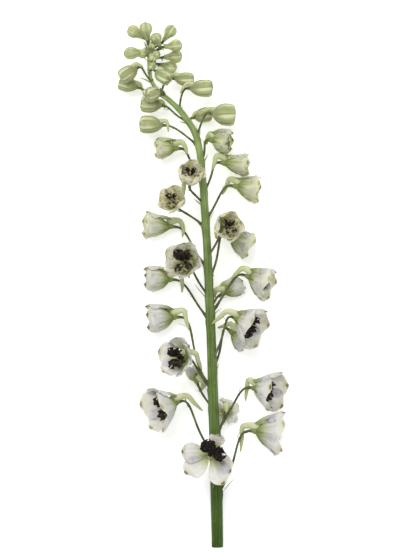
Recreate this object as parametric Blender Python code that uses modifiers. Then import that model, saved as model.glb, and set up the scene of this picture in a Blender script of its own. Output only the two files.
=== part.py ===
"""White delphinium flower spike, cut and laid down on a flat surface.

The spike lies along +Y: the cut end of the stem is at -Y, the bud cluster at +Y.
+Z points up from the surface, and the origin is in the middle of the spike's footprint.
Each bloom has five sepals and a spur round a small receptacle, and a dark eye of small
petals that stands in it. Lengths in the tables are millimetres, and MM turns them into
Blender's metres. A bloom's own frame has its base at the origin, +Z along the way it
faces, and +Y towards its spur side.
"""

import math
from collections import namedtuple

import bmesh
import bpy
from mathutils import Matrix, Vector

MM = 0.001

# The stem's centre line from the cut end to the tip: x, y, height and radius.
STEM_LINE = (
    (9.9, -180.0, 3.6, 3.95),
    (9.8, -172.0, 3.8, 3.95),
    (9.2, -144.0, 7.2, 4.1),
    (8.5, -118.0, 9.6, 3.85),
    (7.5, -93.0, 11.6, 3.6),
    (6.2, -54.0, 14.2, 3.3),
    (4.8, -17.0, 16.2, 3.1),
    (2.9, 24.0, 17.8, 2.8),
    (1.2, 52.0, 18.4, 2.65),
    (0.0, 70.0, 18.4, 2.5),
    (-1.3, 84.0, 18.3, 2.4),
    (-3.2, 97.0, 18.2, 2.25),
    (-6.6, 107.0, 18.0, 2.15),
    (-11.2, 114.5, 17.8, 2.05),
    (-17.0, 121.5, 17.5, 1.9),
    (-22.8, 127.0, 17.2, 1.7),
    (-29.0, 132.0, 17.0, 1.5),
    (-34.2, 138.5, 16.7, 1.3),
    (-36.8, 147.0, 16.2, 1.1),
    (-36.9, 156.0, 15.6, 0.9),
    (-35.8, 165.0, 15.0, 0.6),
)

# leaves_y is where the pedicel leaves the stem, seat the bloom's base, and facing the way
# its mouth looks. A sepal of that length starts at the angle flare to the facing line and
# ends at the angle curl. eye scales the dark centre (0 leaves it out of a closed bloom).
# spur is its length, knee the share of it where it bends, hook the angle it has turned down
# by past the knee, and sway how far its end swings sideways. roll turns the bloom round its
# facing line.
Bloom = namedtuple("Bloom", "name leaves_y seat facing length flare curl eye spur knee hook sway roll")
BLOOMS = (
    Bloom("bloom_01", -140, (5.6, -114.3, 24), (-0.08, -0.02, 1), 20.5, 60, 72, 1.2, 10, 0.3, 70, 3.7, -20),
    Bloom("bloom_02", -143, (35.2, -99.5, 16), (0.98, -0.06, -0.05), 25, 50, 24, 0.85, 26, 0.28, 88, 4, 0),
    Bloom("bloom_03", -116, (-18, -80, 16), (-0.87, -0.28, 0.42), 24, 57, 18, 1.04, 23.5, 0.27, 58, 4.3, 0),
    Bloom("bloom_04", -101.5, (35, -70, 17), (0.88, -0.14, 0.45), 22.6, 55, 20, 0.9, 22, 0.36, 90, 3.9, 0),
    Bloom("bloom_05", -104, (15.5, -86.5, 8.4), (0.08, -0.06, -0.99), 10, 62, 60, 0.4, 11, 0.32, 40, -1, 0),
    Bloom("bloom_06", -72, (-12, -49, 24.5), (-0.6, 0.06, 0.8), 18, 62, 24, 0.94, 21, 0.3, 55, 3.7, 0),
    Bloom("bloom_07", -84.5, (-4.5, -65.5, 6.4), (-0.36, 0.9, -0.24), 11.5, 46, -24, 0, 12, 0.4, 70, -3.2, 0),
    Bloom("bloom_08", -49.5, (22.6, -22.5, 24), (0.83, -0.4, 0.42), 24.5, 56, 18, 1.04, 22, 0.27, 60, -4.4, 0),
    Bloom("bloom_09", -57, (19.5, -31.5, 9.2), (0.78, -0.6, 0), 14.5, 46, 2, 0.45, 14, 0.32, 55, 3.4, 0),
    Bloom("bloom_10", -71, (-19.5, -21.5, 9.4), (-0.98, -0.04, 0.05), 21, 52, -2, 0.7, 21, 0.34, 76, 4, 0),
    Bloom("bloom_11", -19, (31, 6.5, 16), (0.88, -0.34, 0.28), 21.5, 52, 6, 0.85, 16.5, 0.38, 66, -3.7, 0),
    Bloom("bloom_12", -17, (14, -5, 8), (0.8, 0.46, -0.24), 15.5, 50, -14, 0, 11, 0.32, 40, 3.2, 0),
    Bloom("bloom_13", -24, (-22.5, 4.5, 7.4), (-0.97, 0.06, 0.12), 20, 54, -14, 0.65, 20, 0.4, 88, 3.9, 0),
    Bloom("bloom_14", -7, (-9.8, 14.2, 27), (-0.32, 0.29, 0.9), 19.5, 60, 18, 1.04, 18, 0.28, 45, -3.7, 0),
    Bloom("bloom_15", 12, (-22, 41, 7.8), (-0.98, 0.08, 0.1), 19.5, 40, 4, 0.42, 18, 0.45, 92, 3.9, 0),
    Bloom("bloom_16", 20, (14.5, 38.5, 27), (0.3, 0.2, 0.93), 17, 62, 4, 0.8, 14, 0.32, 60, -3.7, 0),
    Bloom("bloom_17", 5.5, (18.5, 34, 11.3), (0.85, -0.42, -0.06), 19, 46, 4, 0.58, 15, 0.32, 70, 3.7, 0),
    Bloom("bloom_18", 40, (-18.6, 55.2, 22), (-0.28, 0.38, 0.88), 15.5, 62, 2, 0.76, 11, 0.32, 60, -3.7, 0),
    Bloom("bloom_19", 56, (-9, 70, 27), (0.08, 0.66, 0.74), 17, 58, 0, 0.76, 14, 0.32, 50, -3.7, 0),
    Bloom("bloom_20", 45, (22.5, 68.6, 11.5), (0.97, -0.14, 0.1), 19, 40, 12, 0.43, 18, 0.34, 72, 3.9, 0),
    Bloom("bloom_21", 65, (14, 84.4, 17.8), (0.98, -0.1, 0.12), 17.5, 34, 6, 0, 16, 0.34, 76, -3.9, 0),
    Bloom("bloom_22", 85, (6, 99.8, 18.5), (0.97, -0.1, 0.22), 16.5, 66, -18, 0, 11, 0.4, 88, 3.2, 0),
    Bloom("bloom_23", 72, (-18.5, 94.6, 13), (-0.97, 0.04, 0.06), 16, 46, -6, 0, 14, 0.42, 74, 3.6, 0),
)

# Closed buds: radius is the body's at its thickest. Those with no spur are the small ones at the tip.
Bud = namedtuple("Bud", "name leaves_y seat facing length radius spur hook sway")
BUDS = (
    Bud("bud_01", 102, (7.6, 118.2, 18.2), (0.98, -0.08, 0.05), 15, 7.1, 13, 40, 2.6),
    Bud("bud_02", 106, (-4.5, 116.5, 8.5), (0.8, 0.16, -0.24), 11, 4.4, 6, 50, -2.4),
    Bud("bud_03", 96, (-29, 110.5, 13), (-0.98, 0.04, 0.05), 15.5, 5.5, 12, 85, 2.6),
    Bud("bud_04", 113, (-30, 124, 14), (-0.98, 0.1, 0.1), 13, 5.2, 8, 70, -2.6),
    Bud("bud_05", 120.5, (-7.5, 135.5, 17.5), (0.99, 0, 0.05), 14.5, 5.2, 12, 60, -2.6),
    Bud("bud_06", 129.5, (-31, 132.5, 24), (-0.78, -0.3, 0.55), 10.5, 4.5, 5, 80, -2.4),
    Bud("bud_07", 146, (-31, 146, 22), (0.74, -0.52, 0.42), 11, 4.3, 5, 60, 2.4),
    Bud("bud_08", 140.5, (-46.5, 148.5, 18.5), (-0.82, -0.5, 0.2), 12.5, 4.6, 8, 60, 2.4),
    Bud("bud_09", 132, (-46.5, 137, 11), (-0.93, 0.3, -0.1), 12.5, 4.9, 8, 60, -2.4),
    Bud("bud_10", 131, (-18, 142.5, 11), (0.98, -0.06, 0.05), 12, 4.2, 8, 60, 2.4),
    Bud("tip_bud_1", 163, (-40.6, 170.4, 14), (-0.86, 0.5, 0.08), 13, 3.6, 0, 0, 0),
    Bud("tip_bud_2", 161.5, (-38, 168.2, 20), (-0.1, 0.98, 0.15), 13, 3.6, 0, 0, 0),
    Bud("tip_bud_3", 159.5, (-29.6, 164.4, 22), (-0.36, 0.86, 0.34), 9.5, 3.3, 0, 0, 0),
    Bud("tip_bud_4", 161.5, (-27, 168.6, 13.5), (0.58, 0.8, 0.04), 12.5, 3.5, 0, 0, 0),
    Bud("tip_bud_5", 157.5, (-26.2, 163.8, 19.5), (0.98, 0.1, 0.15), 12.5, 3.6, 0, 0, 0),
    Bud("tip_bud_6", 155.5, (-39.5, 160.2, 16), (-0.99, -0.05, 0.08), 15, 3.6, 0, 0, 0),
    Bud("tip_bud_7", 152, (-26.6, 157.2, 11.8), (0.97, 0.06, 0.1), 12.5, 3.8, 0, 0, 0),
    Bud("tip_bud_8", 148, (-29, 152.6, 4.8), (0.95, -0.24, 0.05), 11.5, 3.7, 0, 0, 0),
)

# A petal's outline: width left at its root, how far out it is widest, how full its ends
# are, and the share of its length where the outline stops short of a point.
BLADE_FOOT = 0.10
BLADE_LEAN = 1.55
BLADE_FULLNESS = 0.65
BLADE_END = 0.925
# A petal's cross section is an arc round a hollow, wider in an open bloom.
ROOM_SPREAD = (0.85, 0.75)  # share of its room that a petal fills at its root, and more at its tip
HOLLOW_LEAST = 0.75  # share of the half width
HOLLOW_OPEN = 0.9
HOLLOW_EXTRA = 0.8
OPEN_CURL = 70  # degrees of curl in a wide open bloom
MOST_ARC = 1.35  # radians to each side
LAP_FROM = 0.3  # share of the length where the overlap is whole

# Bloom details, in millimetres unless they say otherwise.
SEPAL_THICKNESS = 0.7
SEPAL_HALF_WIDTH = 0.45  # share of the sepal's length
SEPAL_ROOM = 37  # degrees to each side of its middle line that a sepal has for itself
SEPAL_ROOT = (1.5, 0.7)  # distance from the facing line, and along it
TOP_SEPAL_ROOT = (5.6, -0.2)
TOP_SEPAL_FOOT = 0.26
SEPAL_LAP = 1.0  # how far one edge of a sepal stands outside, and the other inside
SEPAL_TURNS = (0, 72, 144, 216, 288)
# The wide open bloom lowest on the stem has a short top sepal and lets its side sepals hang.
OPEN_BLOOM = "bloom_01"
OPEN_TURNS = (8, 112, 138, 215, 256)
OPEN_SHARES = (0.72, 0.92, 1.14, 1.12, 1.04)
OPEN_HALF_WIDTH = 0.34  # share of the sepal's length
OPEN_EYE_TURNS = (-42, 50, 68, -24)  # its eye's petals stand in two lobes
SEPAL_QUADS = (2, 3)  # across and along
LENGTH_SPREAD = 0.05  # sepals of one bloom differ by this share, and by these degrees
TURN_SPREAD = 5
FLARE_SPREAD = 4
CURL_SPREAD = 8
RECEPTACLE = (1.3, 2.3, -1.6, 2.4)  # back radius, front radius, back and front along the facing line
RECEPTACLE_SIDES = 8
SEAT_GAP = 0.35
SPUR_ROOT = (0, 3.5, 0.9)  # in the bloom's frame
SPUR_RISE = -7  # degrees, the way it leaves the bloom, against straight back
SPUR_RADII = (2.6, 2.2, 1.6, 0.6)
SPUR_BEND = 0.32  # share of the spur's length that its knee takes up
SPUR_SWAY_END = 0.5  # share of its length where it has swung to its side
BUD_KNEE = 0.4  # share of a bud's spur where it bends
PEDICEL_RADIUS = 1.0
PEDICEL_POINTS = 5
PEDICEL_END = 1.2  # its last stretch, which runs straight along the facing line
PEDICEL_LEAN = (0.72, 0.70)  # the way it leaves: along the stem, and outwards
PEDICEL_LEAVES = 0.5  # shares of its reach over which it keeps the way it leaves and arrives
PEDICEL_ARRIVES = 0.24
PEDICEL_FOOT = 1.25  # its foot and its last two rings are thicker by these shares
PEDICEL_TOP = (1.1, 1.2)
BUD_PEDICEL_POINTS = 4
BUD_PEDICEL_SHARE = 0.9
BRACT_LENGTH = 6.0
BRACT_RADII = (0.45, 0.22)
BRACT_BELOW = 1.5  # how far below the pedicel it leaves the stem
BRACT_LEAN = (0.9, 0.5)  # along the stem, and outwards
BRACT_SIDE = (0.35, 0.25)  # sideways, and how much that varies
BRACT_DEPTH = 0.6  # share of the stem's radius at which it starts
EYE_THICKNESS = 0.7
EYE_STALK = (1.0, 1.6, 6.6)  # foot radius, top radius and height
EYE_STALK_SIDES = 6
EYE_QUADS = (1, 2)
EYE_ROOM = 38
EYE_ROOT = (1.2, 0.6)  # distance from the facing line, and share of the stalk's height
# The eye opens with its bloom, from the curl of a closed one to that of an open one.
CLOSED_CURL = -30
OPEN_EYE_CURL = 15
EYE_LEAST_FLARE = 0.55
EYE_LEAST_CURL = 0.2
# Each small petal of the eye: turn from the spur side, length, flare, curl and half width.
EYE_PETALS = (
    (-42, 10.5, 16, 80, 3.6),
    (38, 10.0, 14, 76, 3.4),
    (132, 10.5, 24, 88, 4.0),
    (-156, 10.5, 22, 84, 3.9),
)

# Rings of a bud from its base to its tip: share of the length, and of the radius.
BUD_RINGS = ((0.0, 0.34), (0.32, 0.82), (0.72, 1.0), (0.95, 0.74))
TIP_BUD_RINGS = ((0.0, 0.34), (0.35, 0.62), (0.66, 1.0), (0.92, 0.70))
BUD_LOBES = 0.07  # how far the five folded sepals stand out, as a share of the radius
BUD_SIDES = 10
TIP_BUD_SIDES = 8
BUD_SPUR_SCALE = 0.7

FACES_KEPT = 0.7  # a union leaves many tiny faces, which are merged away
MERGE_DISTANCE = 1e-6  # metres
SHARP_ANGLE = 40  # degrees

FINISHES = {
    "stem_green": ((0.16, 0.30, 0.07), 0.5),
    "sepal_white": ((0.86, 0.87, 0.80), 0.55),
    "eye_black": ((0.02, 0.016, 0.012), 0.7),
    "bud_green": ((0.50, 0.55, 0.29), 0.55),
}


def clear_scene():
    for old in list(bpy.data.objects):
        bpy.data.objects.remove(old)


def material(name):
    colour, roughness = FINISHES[name]
    made = bpy.data.materials.get(name)
    if made is None:
        made = bpy.data.materials.new(name)
        made.use_nodes = True
        shader = made.node_tree.nodes["Principled BSDF"]
        shader.inputs["Base Color"].default_value = (*colour, 1)
        shader.inputs["Roughness"].default_value = roughness
    return made


def wobble(number):
    """A fixed spread of values from -1 to 1, so that no two petals are alike."""
    return math.sin(number * 12.9898 + 4.1)


def bloom_frame(facing, roll=0):
    """Rotation whose Z is the facing line and whose Y is the spur side, turned to the spike's tip."""
    front = Vector(facing).normalized()
    up = (Vector((0, 1, 0)) - front * front.y).normalized()
    side = up.cross(front)
    turn = Matrix((side, up, front)).transposed().to_4x4()
    return turn @ Matrix.Rotation(math.radians(roll), 4, "Z")


def stem_point(y):
    """(point, tangent, radius) of the stem's centre line at that y."""
    for low, high in zip(STEM_LINE, STEM_LINE[1:]):
        if y <= high[1]:
            break
    share = (y - low[1]) / (high[1] - low[1])
    start, end = Vector(low[:3]), Vector(high[:3])
    return start.lerp(end, share), (end - start).normalized(), low[3] + (high[3] - low[3]) * share


def blade_outline(share, foot):
    """Half width of a sepal along its length, as a share of its widest."""
    arch = math.sin(math.pi * min(share, BLADE_END) ** BLADE_LEAN)
    return foot * (1 - share) ** 2 + arch ** BLADE_FULLNESS


def blade_point(along, across, turn, length, flare, curl, half_width, room, root, lap, foot=BLADE_FOOT):
    """A point on the middle surface of a petal, in the bloom's frame.

    along runs 0 to 1 from root to tip, and across -1 to 1. The petal's middle line leaves
    the facing line at the angle flare and ends at the angle curl to it. room is the half
    angle that it can fill at its root without touching its neighbours."""
    start, bend = math.radians(flare), math.radians(curl - flare)
    angle = start + bend * along
    out = (math.cos(start) - math.cos(angle)) / bend
    forward = (math.sin(angle) - math.sin(start)) / bend
    out = root[0] + length * out
    forward = root[1] + length * forward
    spread = ROOM_SPREAD[0] + ROOM_SPREAD[1] * along
    half = min(half_width * blade_outline(along, foot), out * math.tan(math.radians(room)) * spread)
    openness = max(0.0, min(1.0, curl / OPEN_CURL))
    hollow = max(out, half * HOLLOW_LEAST) * (1 + HOLLOW_OPEN * openness) + HOLLOW_EXTRA
    arc = max(-MOST_ARC, min(MOST_ARC, across * half / hollow))
    sideways = hollow * math.sin(arc)
    inward = hollow * (1 - math.cos(arc)) - lap * across * min(1.0, along / LAP_FROM)
    out -= inward * math.cos(angle)
    forward += inward * math.sin(angle)
    phi = math.radians(turn)
    return Vector((
        out * math.sin(phi) + sideways * math.cos(phi),
        out * math.cos(phi) - sideways * math.sin(phi),
        forward,
    ))


def mesh_object(name, bm):
    mesh = bpy.data.meshes.new(name)
    bm.to_mesh(mesh)
    bm.free()
    return bpy.data.objects.new(name, mesh)


def blade(name, quads, thickness, shape):
    """A petal as a grid on the surface shape(along, across), thickened with Solidify."""
    bm = bmesh.new()
    bmesh.ops.create_grid(bm, x_segments=quads[0], y_segments=quads[1], size=1)
    for vertex in bm.verts:
        vertex.co = shape((vertex.co.y + 1) / 2, vertex.co.x) * MM
    made = mesh_object(name, bm)
    shell = made.modifiers.new("thickness", "SOLIDIFY")
    shell.thickness = thickness * MM
    shell.offset = 0
    made.modifiers.new("flat_faces", "TRIANGULATE")
    return made


def tube(name, points, radii, sides_step):
    """A tapering tube through the points, as a mesh. sides_step is the curve's bevel_resolution."""
    curve = bpy.data.curves.new(name, "CURVE")
    curve.dimensions = "3D"
    curve.bevel_depth = MM
    curve.bevel_resolution = sides_step
    curve.use_fill_caps = True
    line = curve.splines.new("POLY")
    line.points.add(len(points) - 1)
    for place, point, radius in zip(line.points, points, radii):
        place.co = (*(Vector(point) * MM), 1)
        place.radius = radius
    bent = bpy.data.objects.new(name, curve)
    bpy.context.scene.collection.objects.link(bent)
    graph = bpy.context.evaluated_depsgraph_get()
    mesh = bpy.data.meshes.new_from_object(bent.evaluated_get(graph))
    bm = bmesh.new()
    bm.from_mesh(mesh)
    bmesh.ops.remove_doubles(bm, verts=bm.verts, dist=MERGE_DISTANCE)
    bmesh.ops.recalc_face_normals(bm, faces=bm.faces)
    bmesh.ops.triangulate(bm, faces=bm.faces)
    bm.to_mesh(mesh)
    bm.free()
    bpy.data.objects.remove(bent)
    return bpy.data.objects.new(name, mesh)


def fuse(core, pieces):
    """Joins the pieces to the core by one Boolean union, and removes them."""
    scene = bpy.context.scene.collection
    scene.objects.link(core)
    joined = bpy.data.collections.new(core.name + "_pieces")
    scene.children.link(joined)
    for piece in pieces:
        joined.objects.link(piece)
    union = core.modifiers.new("union", "BOOLEAN")
    union.operation = "UNION"
    union.operand_type = "COLLECTION"
    union.collection = joined
    union.solver = "EXACT"
    core.modifiers.new("fewer_faces", "DECIMATE").ratio = FACES_KEPT
    graph = bpy.context.evaluated_depsgraph_get()
    mesh = bpy.data.meshes.new_from_object(core.evaluated_get(graph))
    core.modifiers.clear()
    core.data = mesh
    scene.objects.unlink(core)
    for piece in list(joined.objects):
        bpy.data.objects.remove(piece)
    bpy.data.collections.remove(joined)
    keep_outer_body(mesh)
    return core


def keep_outer_body(mesh):
    """Drops every loose part but the largest, so that a pocket closed in between petals is solid."""
    bm = bmesh.new()
    bm.from_mesh(mesh)
    bm.verts.ensure_lookup_table()
    seen, bodies = set(), []
    for first in bm.verts:
        if first in seen:
            continue
        body, waiting = [], [first]
        seen.add(first)
        while waiting:
            vertex = waiting.pop()
            body.append(vertex)
            for edge in vertex.link_edges:
                other = edge.other_vert(vertex)
                if other not in seen:
                    seen.add(other)
                    waiting.append(other)
        bodies.append(body)
    bodies.sort(key=len)
    bmesh.ops.delete(bm, geom=[vertex for body in bodies[:-1] for vertex in body], context="VERTS")
    bm.to_mesh(mesh)
    bm.free()


def place(obj, seat, turn, finish):
    """Puts the object at its seat, and flattens what would dip below the surface it lies on."""
    obj.matrix_world = Matrix.Translation(Vector(seat) * MM) @ turn
    back = obj.matrix_world.inverted()
    for vertex in obj.data.vertices:
        world = obj.matrix_world @ vertex.co
        if world.z < 0:
            world.z = 0
            vertex.co = back @ world
    obj.data.materials.clear()
    obj.data.materials.append(material(finish))
    obj.data.shade_smooth()
    obj.data.set_sharp_from_angle(angle=math.radians(SHARP_ANGLE))
    spike.objects.link(obj)
    obj.parent = whole
    return obj


def receptacle(name):
    back_radius, front_radius, back, front = RECEPTACLE
    bm = bmesh.new()
    bmesh.ops.create_cone(
        bm, cap_ends=True, segments=RECEPTACLE_SIDES, depth=(front - back) * MM,
        radius1=back_radius * MM, radius2=front_radius * MM,
        matrix=Matrix.Translation((0, 0, (front + back) / 2 * MM)),
    )
    return mesh_object(name, bm)


def spur(name, length, knee, hook, sway, scale=1.0):
    """The hollow spur of the top sepal, which runs back from the bloom and bends down at its knee."""
    steps = len(SPUR_RADII) - 1
    point, points = Vector(SPUR_ROOT) * scale, []
    for i in range(steps + 1):
        swung = math.sin(math.pi / 2 * min(1, i / steps / SPUR_SWAY_END))
        points.append(Vector((sway * swung, point.y, point.z)))
        past = (i + 0.5) / steps - knee
        bent = max(0.0, min(1.0, past / SPUR_BEND + 0.5))
        turned = math.radians(SPUR_RISE + (hook - SPUR_RISE) * bent)
        point = point + Vector((0, -math.sin(turned), -math.cos(turned))) * length / steps
    return tube(name, points, [radius * scale for radius in SPUR_RADII], 1)


def sepal_shape(bloom, number, index):
    """The surface of one sepal. Length, turn and bend vary a little from sepal to sepal."""
    seed = index * len(SEPAL_TURNS) + number
    hangs = bloom.name == OPEN_BLOOM
    share = OPEN_SHARES[number] if hangs else 1
    length = bloom.length * share * (1 + LENGTH_SPREAD * wobble(seed + 0.3))
    values = dict(
        turn=(OPEN_TURNS if hangs else SEPAL_TURNS)[number] + TURN_SPREAD * wobble(seed),
        length=length,
        flare=bloom.flare + FLARE_SPREAD * wobble(seed + 0.6),
        curl=bloom.curl + CURL_SPREAD * wobble(seed + 0.9),
        half_width=length * (OPEN_HALF_WIDTH if hangs else SEPAL_HALF_WIDTH),
        room=SEPAL_ROOM,
        root=SEPAL_ROOT,
        lap=SEPAL_LAP,
    )
    if number == 0:
        grow_from_spur(values)
    return lambda along, across: blade_point(along, across, **values)


def grow_from_spur(values):
    """Moves a sepal's root to the spur's back and leaves its tip where it is."""
    start, end = math.radians(values["flare"]), math.radians(values["curl"])
    length, bend = values["length"], end - start
    out = SEPAL_ROOT[0] + length * (math.cos(start) - math.cos(end)) / bend - TOP_SEPAL_ROOT[0]
    forward = SEPAL_ROOT[1] + length * (math.sin(end) - math.sin(start)) / bend - TOP_SEPAL_ROOT[1]
    start = 2 * math.atan2(out, forward) - end
    half_bend = (end - start) / 2
    values.update(
        flare=math.degrees(start),
        length=math.hypot(out, forward) * half_bend / math.sin(half_bend),
        root=TOP_SEPAL_ROOT,
        foot=TOP_SEPAL_FOOT,
    )


def make_bloom(bloom, index):
    turn = bloom_frame(bloom.facing, bloom.roll)
    name = bloom.name + "_sepals"
    pieces = [
        blade(f"{name}_{number}", SEPAL_QUADS, SEPAL_THICKNESS, sepal_shape(bloom, number, index))
        for number in range(len(SEPAL_TURNS))
    ]
    pieces.append(spur(name + "_spur", bloom.spur, bloom.knee, bloom.hook, bloom.sway))
    place(fuse(receptacle(name), pieces), bloom.seat, turn, "sepal_white")
    if bloom.eye:
        make_eye(bloom, turn)


def make_eye(bloom, turn):
    """The dark eye: four small petals on a short stalk that stands on the receptacle."""
    foot, top, height = (size * bloom.eye for size in EYE_STALK)
    base = RECEPTACLE[3] + SEAT_GAP
    name = bloom.name + "_eye"
    bm = bmesh.new()
    bmesh.ops.create_cone(
        bm, cap_ends=True, segments=EYE_STALK_SIDES, depth=height * MM, radius1=foot * MM, radius2=top * MM,
        matrix=Matrix.Translation((0, 0, (base + height / 2) * MM)),
    )
    pieces = []
    open_share = max(0.0, min(1.0, (bloom.curl - CLOSED_CURL) / (OPEN_EYE_CURL - CLOSED_CURL)))
    hangs = bloom.name == OPEN_BLOOM
    for number, (petal_turn, length, flare, curl, half_width) in enumerate(EYE_PETALS):
        values = dict(
            turn=OPEN_EYE_TURNS[number] if hangs else petal_turn,
            length=length * bloom.eye,
            flare=flare * (EYE_LEAST_FLARE + (1 - EYE_LEAST_FLARE) * open_share),
            curl=curl * (EYE_LEAST_CURL + (1 - EYE_LEAST_CURL) * open_share),
            half_width=half_width * bloom.eye,
            room=EYE_ROOM,
            root=(EYE_ROOT[0] * bloom.eye, base + EYE_ROOT[1] * height),
            lap=0,
        )
        pieces.append(blade(
            f"{name}_{number}", EYE_QUADS, EYE_THICKNESS,
            lambda along, across, values=values: blade_point(along, across, **values),
        ))
    place(fuse(mesh_object(name, bm), pieces), bloom.seat, turn, "eye_black")


def make_bud(bud):
    """A closed bud: five folded sepals show as lobes, with a short spur on the larger ones."""
    rings = BUD_RINGS if bud.spur else TIP_BUD_RINGS
    back = RECEPTACLE[2] if bud.spur else 0
    bm = bmesh.new()
    sides = BUD_SIDES if bud.spur else TIP_BUD_SIDES
    bmesh.ops.create_uvsphere(bm, u_segments=sides, v_segments=len(rings) + 1, radius=1)
    for vertex in bm.verts:
        height = -vertex.co.z
        phi = math.atan2(vertex.co.y, vertex.co.x)
        number = round(math.acos(max(-1, min(1, height))) / math.pi * (len(rings) + 1))
        if number == 0:
            share, girth = 0, 0
        elif number == len(rings) + 1:
            share, girth = 1, 0
        else:
            share, girth = rings[number - 1]
        radius = bud.radius * girth * (1 + BUD_LOBES * math.cos(len(SEPAL_TURNS) * phi))
        vertex.co = Vector((
            math.cos(phi) * radius, math.sin(phi) * radius, back + share * (bud.length - back),
        )) * MM
    body = mesh_object(bud.name, bm)
    if bud.spur:
        piece = spur(bud.name + "_spur", bud.spur, BUD_KNEE, bud.hook, bud.sway, BUD_SPUR_SCALE)
        body = fuse(body, [piece])
    place(body, bud.seat, bloom_frame(bud.facing), "bud_green")


def pedicel_points(leaves_y, seat, facing, back, count):
    """The little stalk from the stem to a bloom's back, which arrives along the facing line."""
    start, along_stem, _ = stem_point(leaves_y)
    front = Vector(facing).normalized()
    tip = Vector(seat) + front * (back - SEAT_GAP)
    end = tip - front * PEDICEL_END
    away = end - start
    out = (away - along_stem * away.dot(along_stem)).normalized()
    reach = away.length
    lean = (along_stem * PEDICEL_LEAN[0] + out * PEDICEL_LEAN[1]).normalized()
    leave = start + lean * reach * PEDICEL_LEAVES
    arrive = end - front * reach * PEDICEL_ARRIVES
    points = []
    for i in range(count):
        t = i / (count - 1)
        points.append(
            start * (1 - t) ** 3 + leave * 3 * t * (1 - t) ** 2 + arrive * 3 * t * t * (1 - t) + end * t ** 3
        )
    return points + [tip]


def bract_points(leaves_y, seat, number):
    """The narrow leaf below each pedicel, from inside the stem outwards."""
    start, along_stem, radius = stem_point(leaves_y - BRACT_BELOW)
    away = Vector(seat) - start
    out = (away - along_stem * away.dot(along_stem)).normalized()
    side = out.cross(along_stem) * (BRACT_SIDE[0] + BRACT_SIDE[1] * wobble(number))
    lean = (along_stem * BRACT_LEAN[0] + out * BRACT_LEAN[1] + side).normalized()
    root = start + (out + side).normalized() * radius * BRACT_DEPTH
    return [root, root + lean * BRACT_LENGTH]


def make_stem():
    """The stem with its pedicels and bracts, one green body."""
    core = tube("stem", [row[:3] for row in STEM_LINE], [row[3] for row in STEM_LINE], 3)
    pieces = []
    for number, bloom in enumerate(BLOOMS):
        points = pedicel_points(bloom.leaves_y, bloom.seat, bloom.facing, RECEPTACLE[2], PEDICEL_POINTS)
        widths = [PEDICEL_FOOT] + [1.0] * (PEDICEL_POINTS - 2) + list(PEDICEL_TOP)
        pieces.append(tube("pedicel", points, [PEDICEL_RADIUS * width for width in widths], 0))
        bract = bract_points(bloom.leaves_y, bloom.seat, number)
        pieces.append(tube("bract", bract, BRACT_RADII, 0))
    for bud in BUDS:
        back = RECEPTACLE[2] if bud.spur else 0
        points = pedicel_points(bud.leaves_y, bud.seat, bud.facing, back, BUD_PEDICEL_POINTS)
        pieces.append(tube("pedicel", points, [PEDICEL_RADIUS * BUD_PEDICEL_SHARE] * len(points), 0))
    place(fuse(core, pieces), (0, 0, 0), Matrix.Identity(4), "stem_green")


clear_scene()
spike = bpy.data.collections.new("delphinium_flower_spike")
bpy.context.scene.collection.children.link(spike)
whole = bpy.data.objects.new("spike_frame", None)
spike.objects.link(whole)
make_stem()
for bloom_index, each_bloom in enumerate(BLOOMS):
    make_bloom(each_bloom, bloom_index)
for each_bud in BUDS:
    make_bud(each_bud)
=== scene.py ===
"""Looks of the white delphinium flower spike, which lies along +Y on a pale floor.

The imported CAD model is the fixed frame. Each of its nodes is replaced by a finer piece of
the same form: thin sepals with ruffled edges and veins, dark bearded eye petals, buds of
folded sepals, and a ridged stem with its little stalks and bracts.
Tables are in millimetres, as in the CAD, and MM turns them into metres. A bloom's own
frame has its base at the origin, +Z along the way it faces and +Y towards its spur.
"""

import math
from collections import namedtuple

import bpy
import numpy as np
from bpy.props import FloatProperty, FloatVectorProperty, IntProperty, PointerProperty
from mathutils import Matrix, Vector


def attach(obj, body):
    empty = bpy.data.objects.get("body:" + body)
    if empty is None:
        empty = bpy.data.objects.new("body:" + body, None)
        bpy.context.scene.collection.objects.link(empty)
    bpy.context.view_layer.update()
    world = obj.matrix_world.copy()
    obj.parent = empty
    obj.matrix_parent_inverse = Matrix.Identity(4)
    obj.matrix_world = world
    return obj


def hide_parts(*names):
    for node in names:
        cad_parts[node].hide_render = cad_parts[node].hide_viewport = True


bl_info = {
    "name": "Delphinium flower spike",
    "version": (1, 0, 0),
    "blender": (4, 5, 0),
    "location": "3D View > Sidebar > Delphinium",
    "description": "Makes the stem, blooms, eyes and buds of a white delphinium spike",
    "category": "Object",
}

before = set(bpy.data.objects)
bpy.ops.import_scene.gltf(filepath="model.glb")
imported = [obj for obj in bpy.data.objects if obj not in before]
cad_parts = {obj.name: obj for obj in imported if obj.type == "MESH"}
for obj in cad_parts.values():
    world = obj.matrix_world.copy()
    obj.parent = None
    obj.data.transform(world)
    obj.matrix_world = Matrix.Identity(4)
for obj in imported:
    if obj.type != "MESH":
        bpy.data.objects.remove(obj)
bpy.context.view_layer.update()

MM = 0.001
BODY = "root"
PLACE = "growth_place"
AGE = "growth_age"

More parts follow.
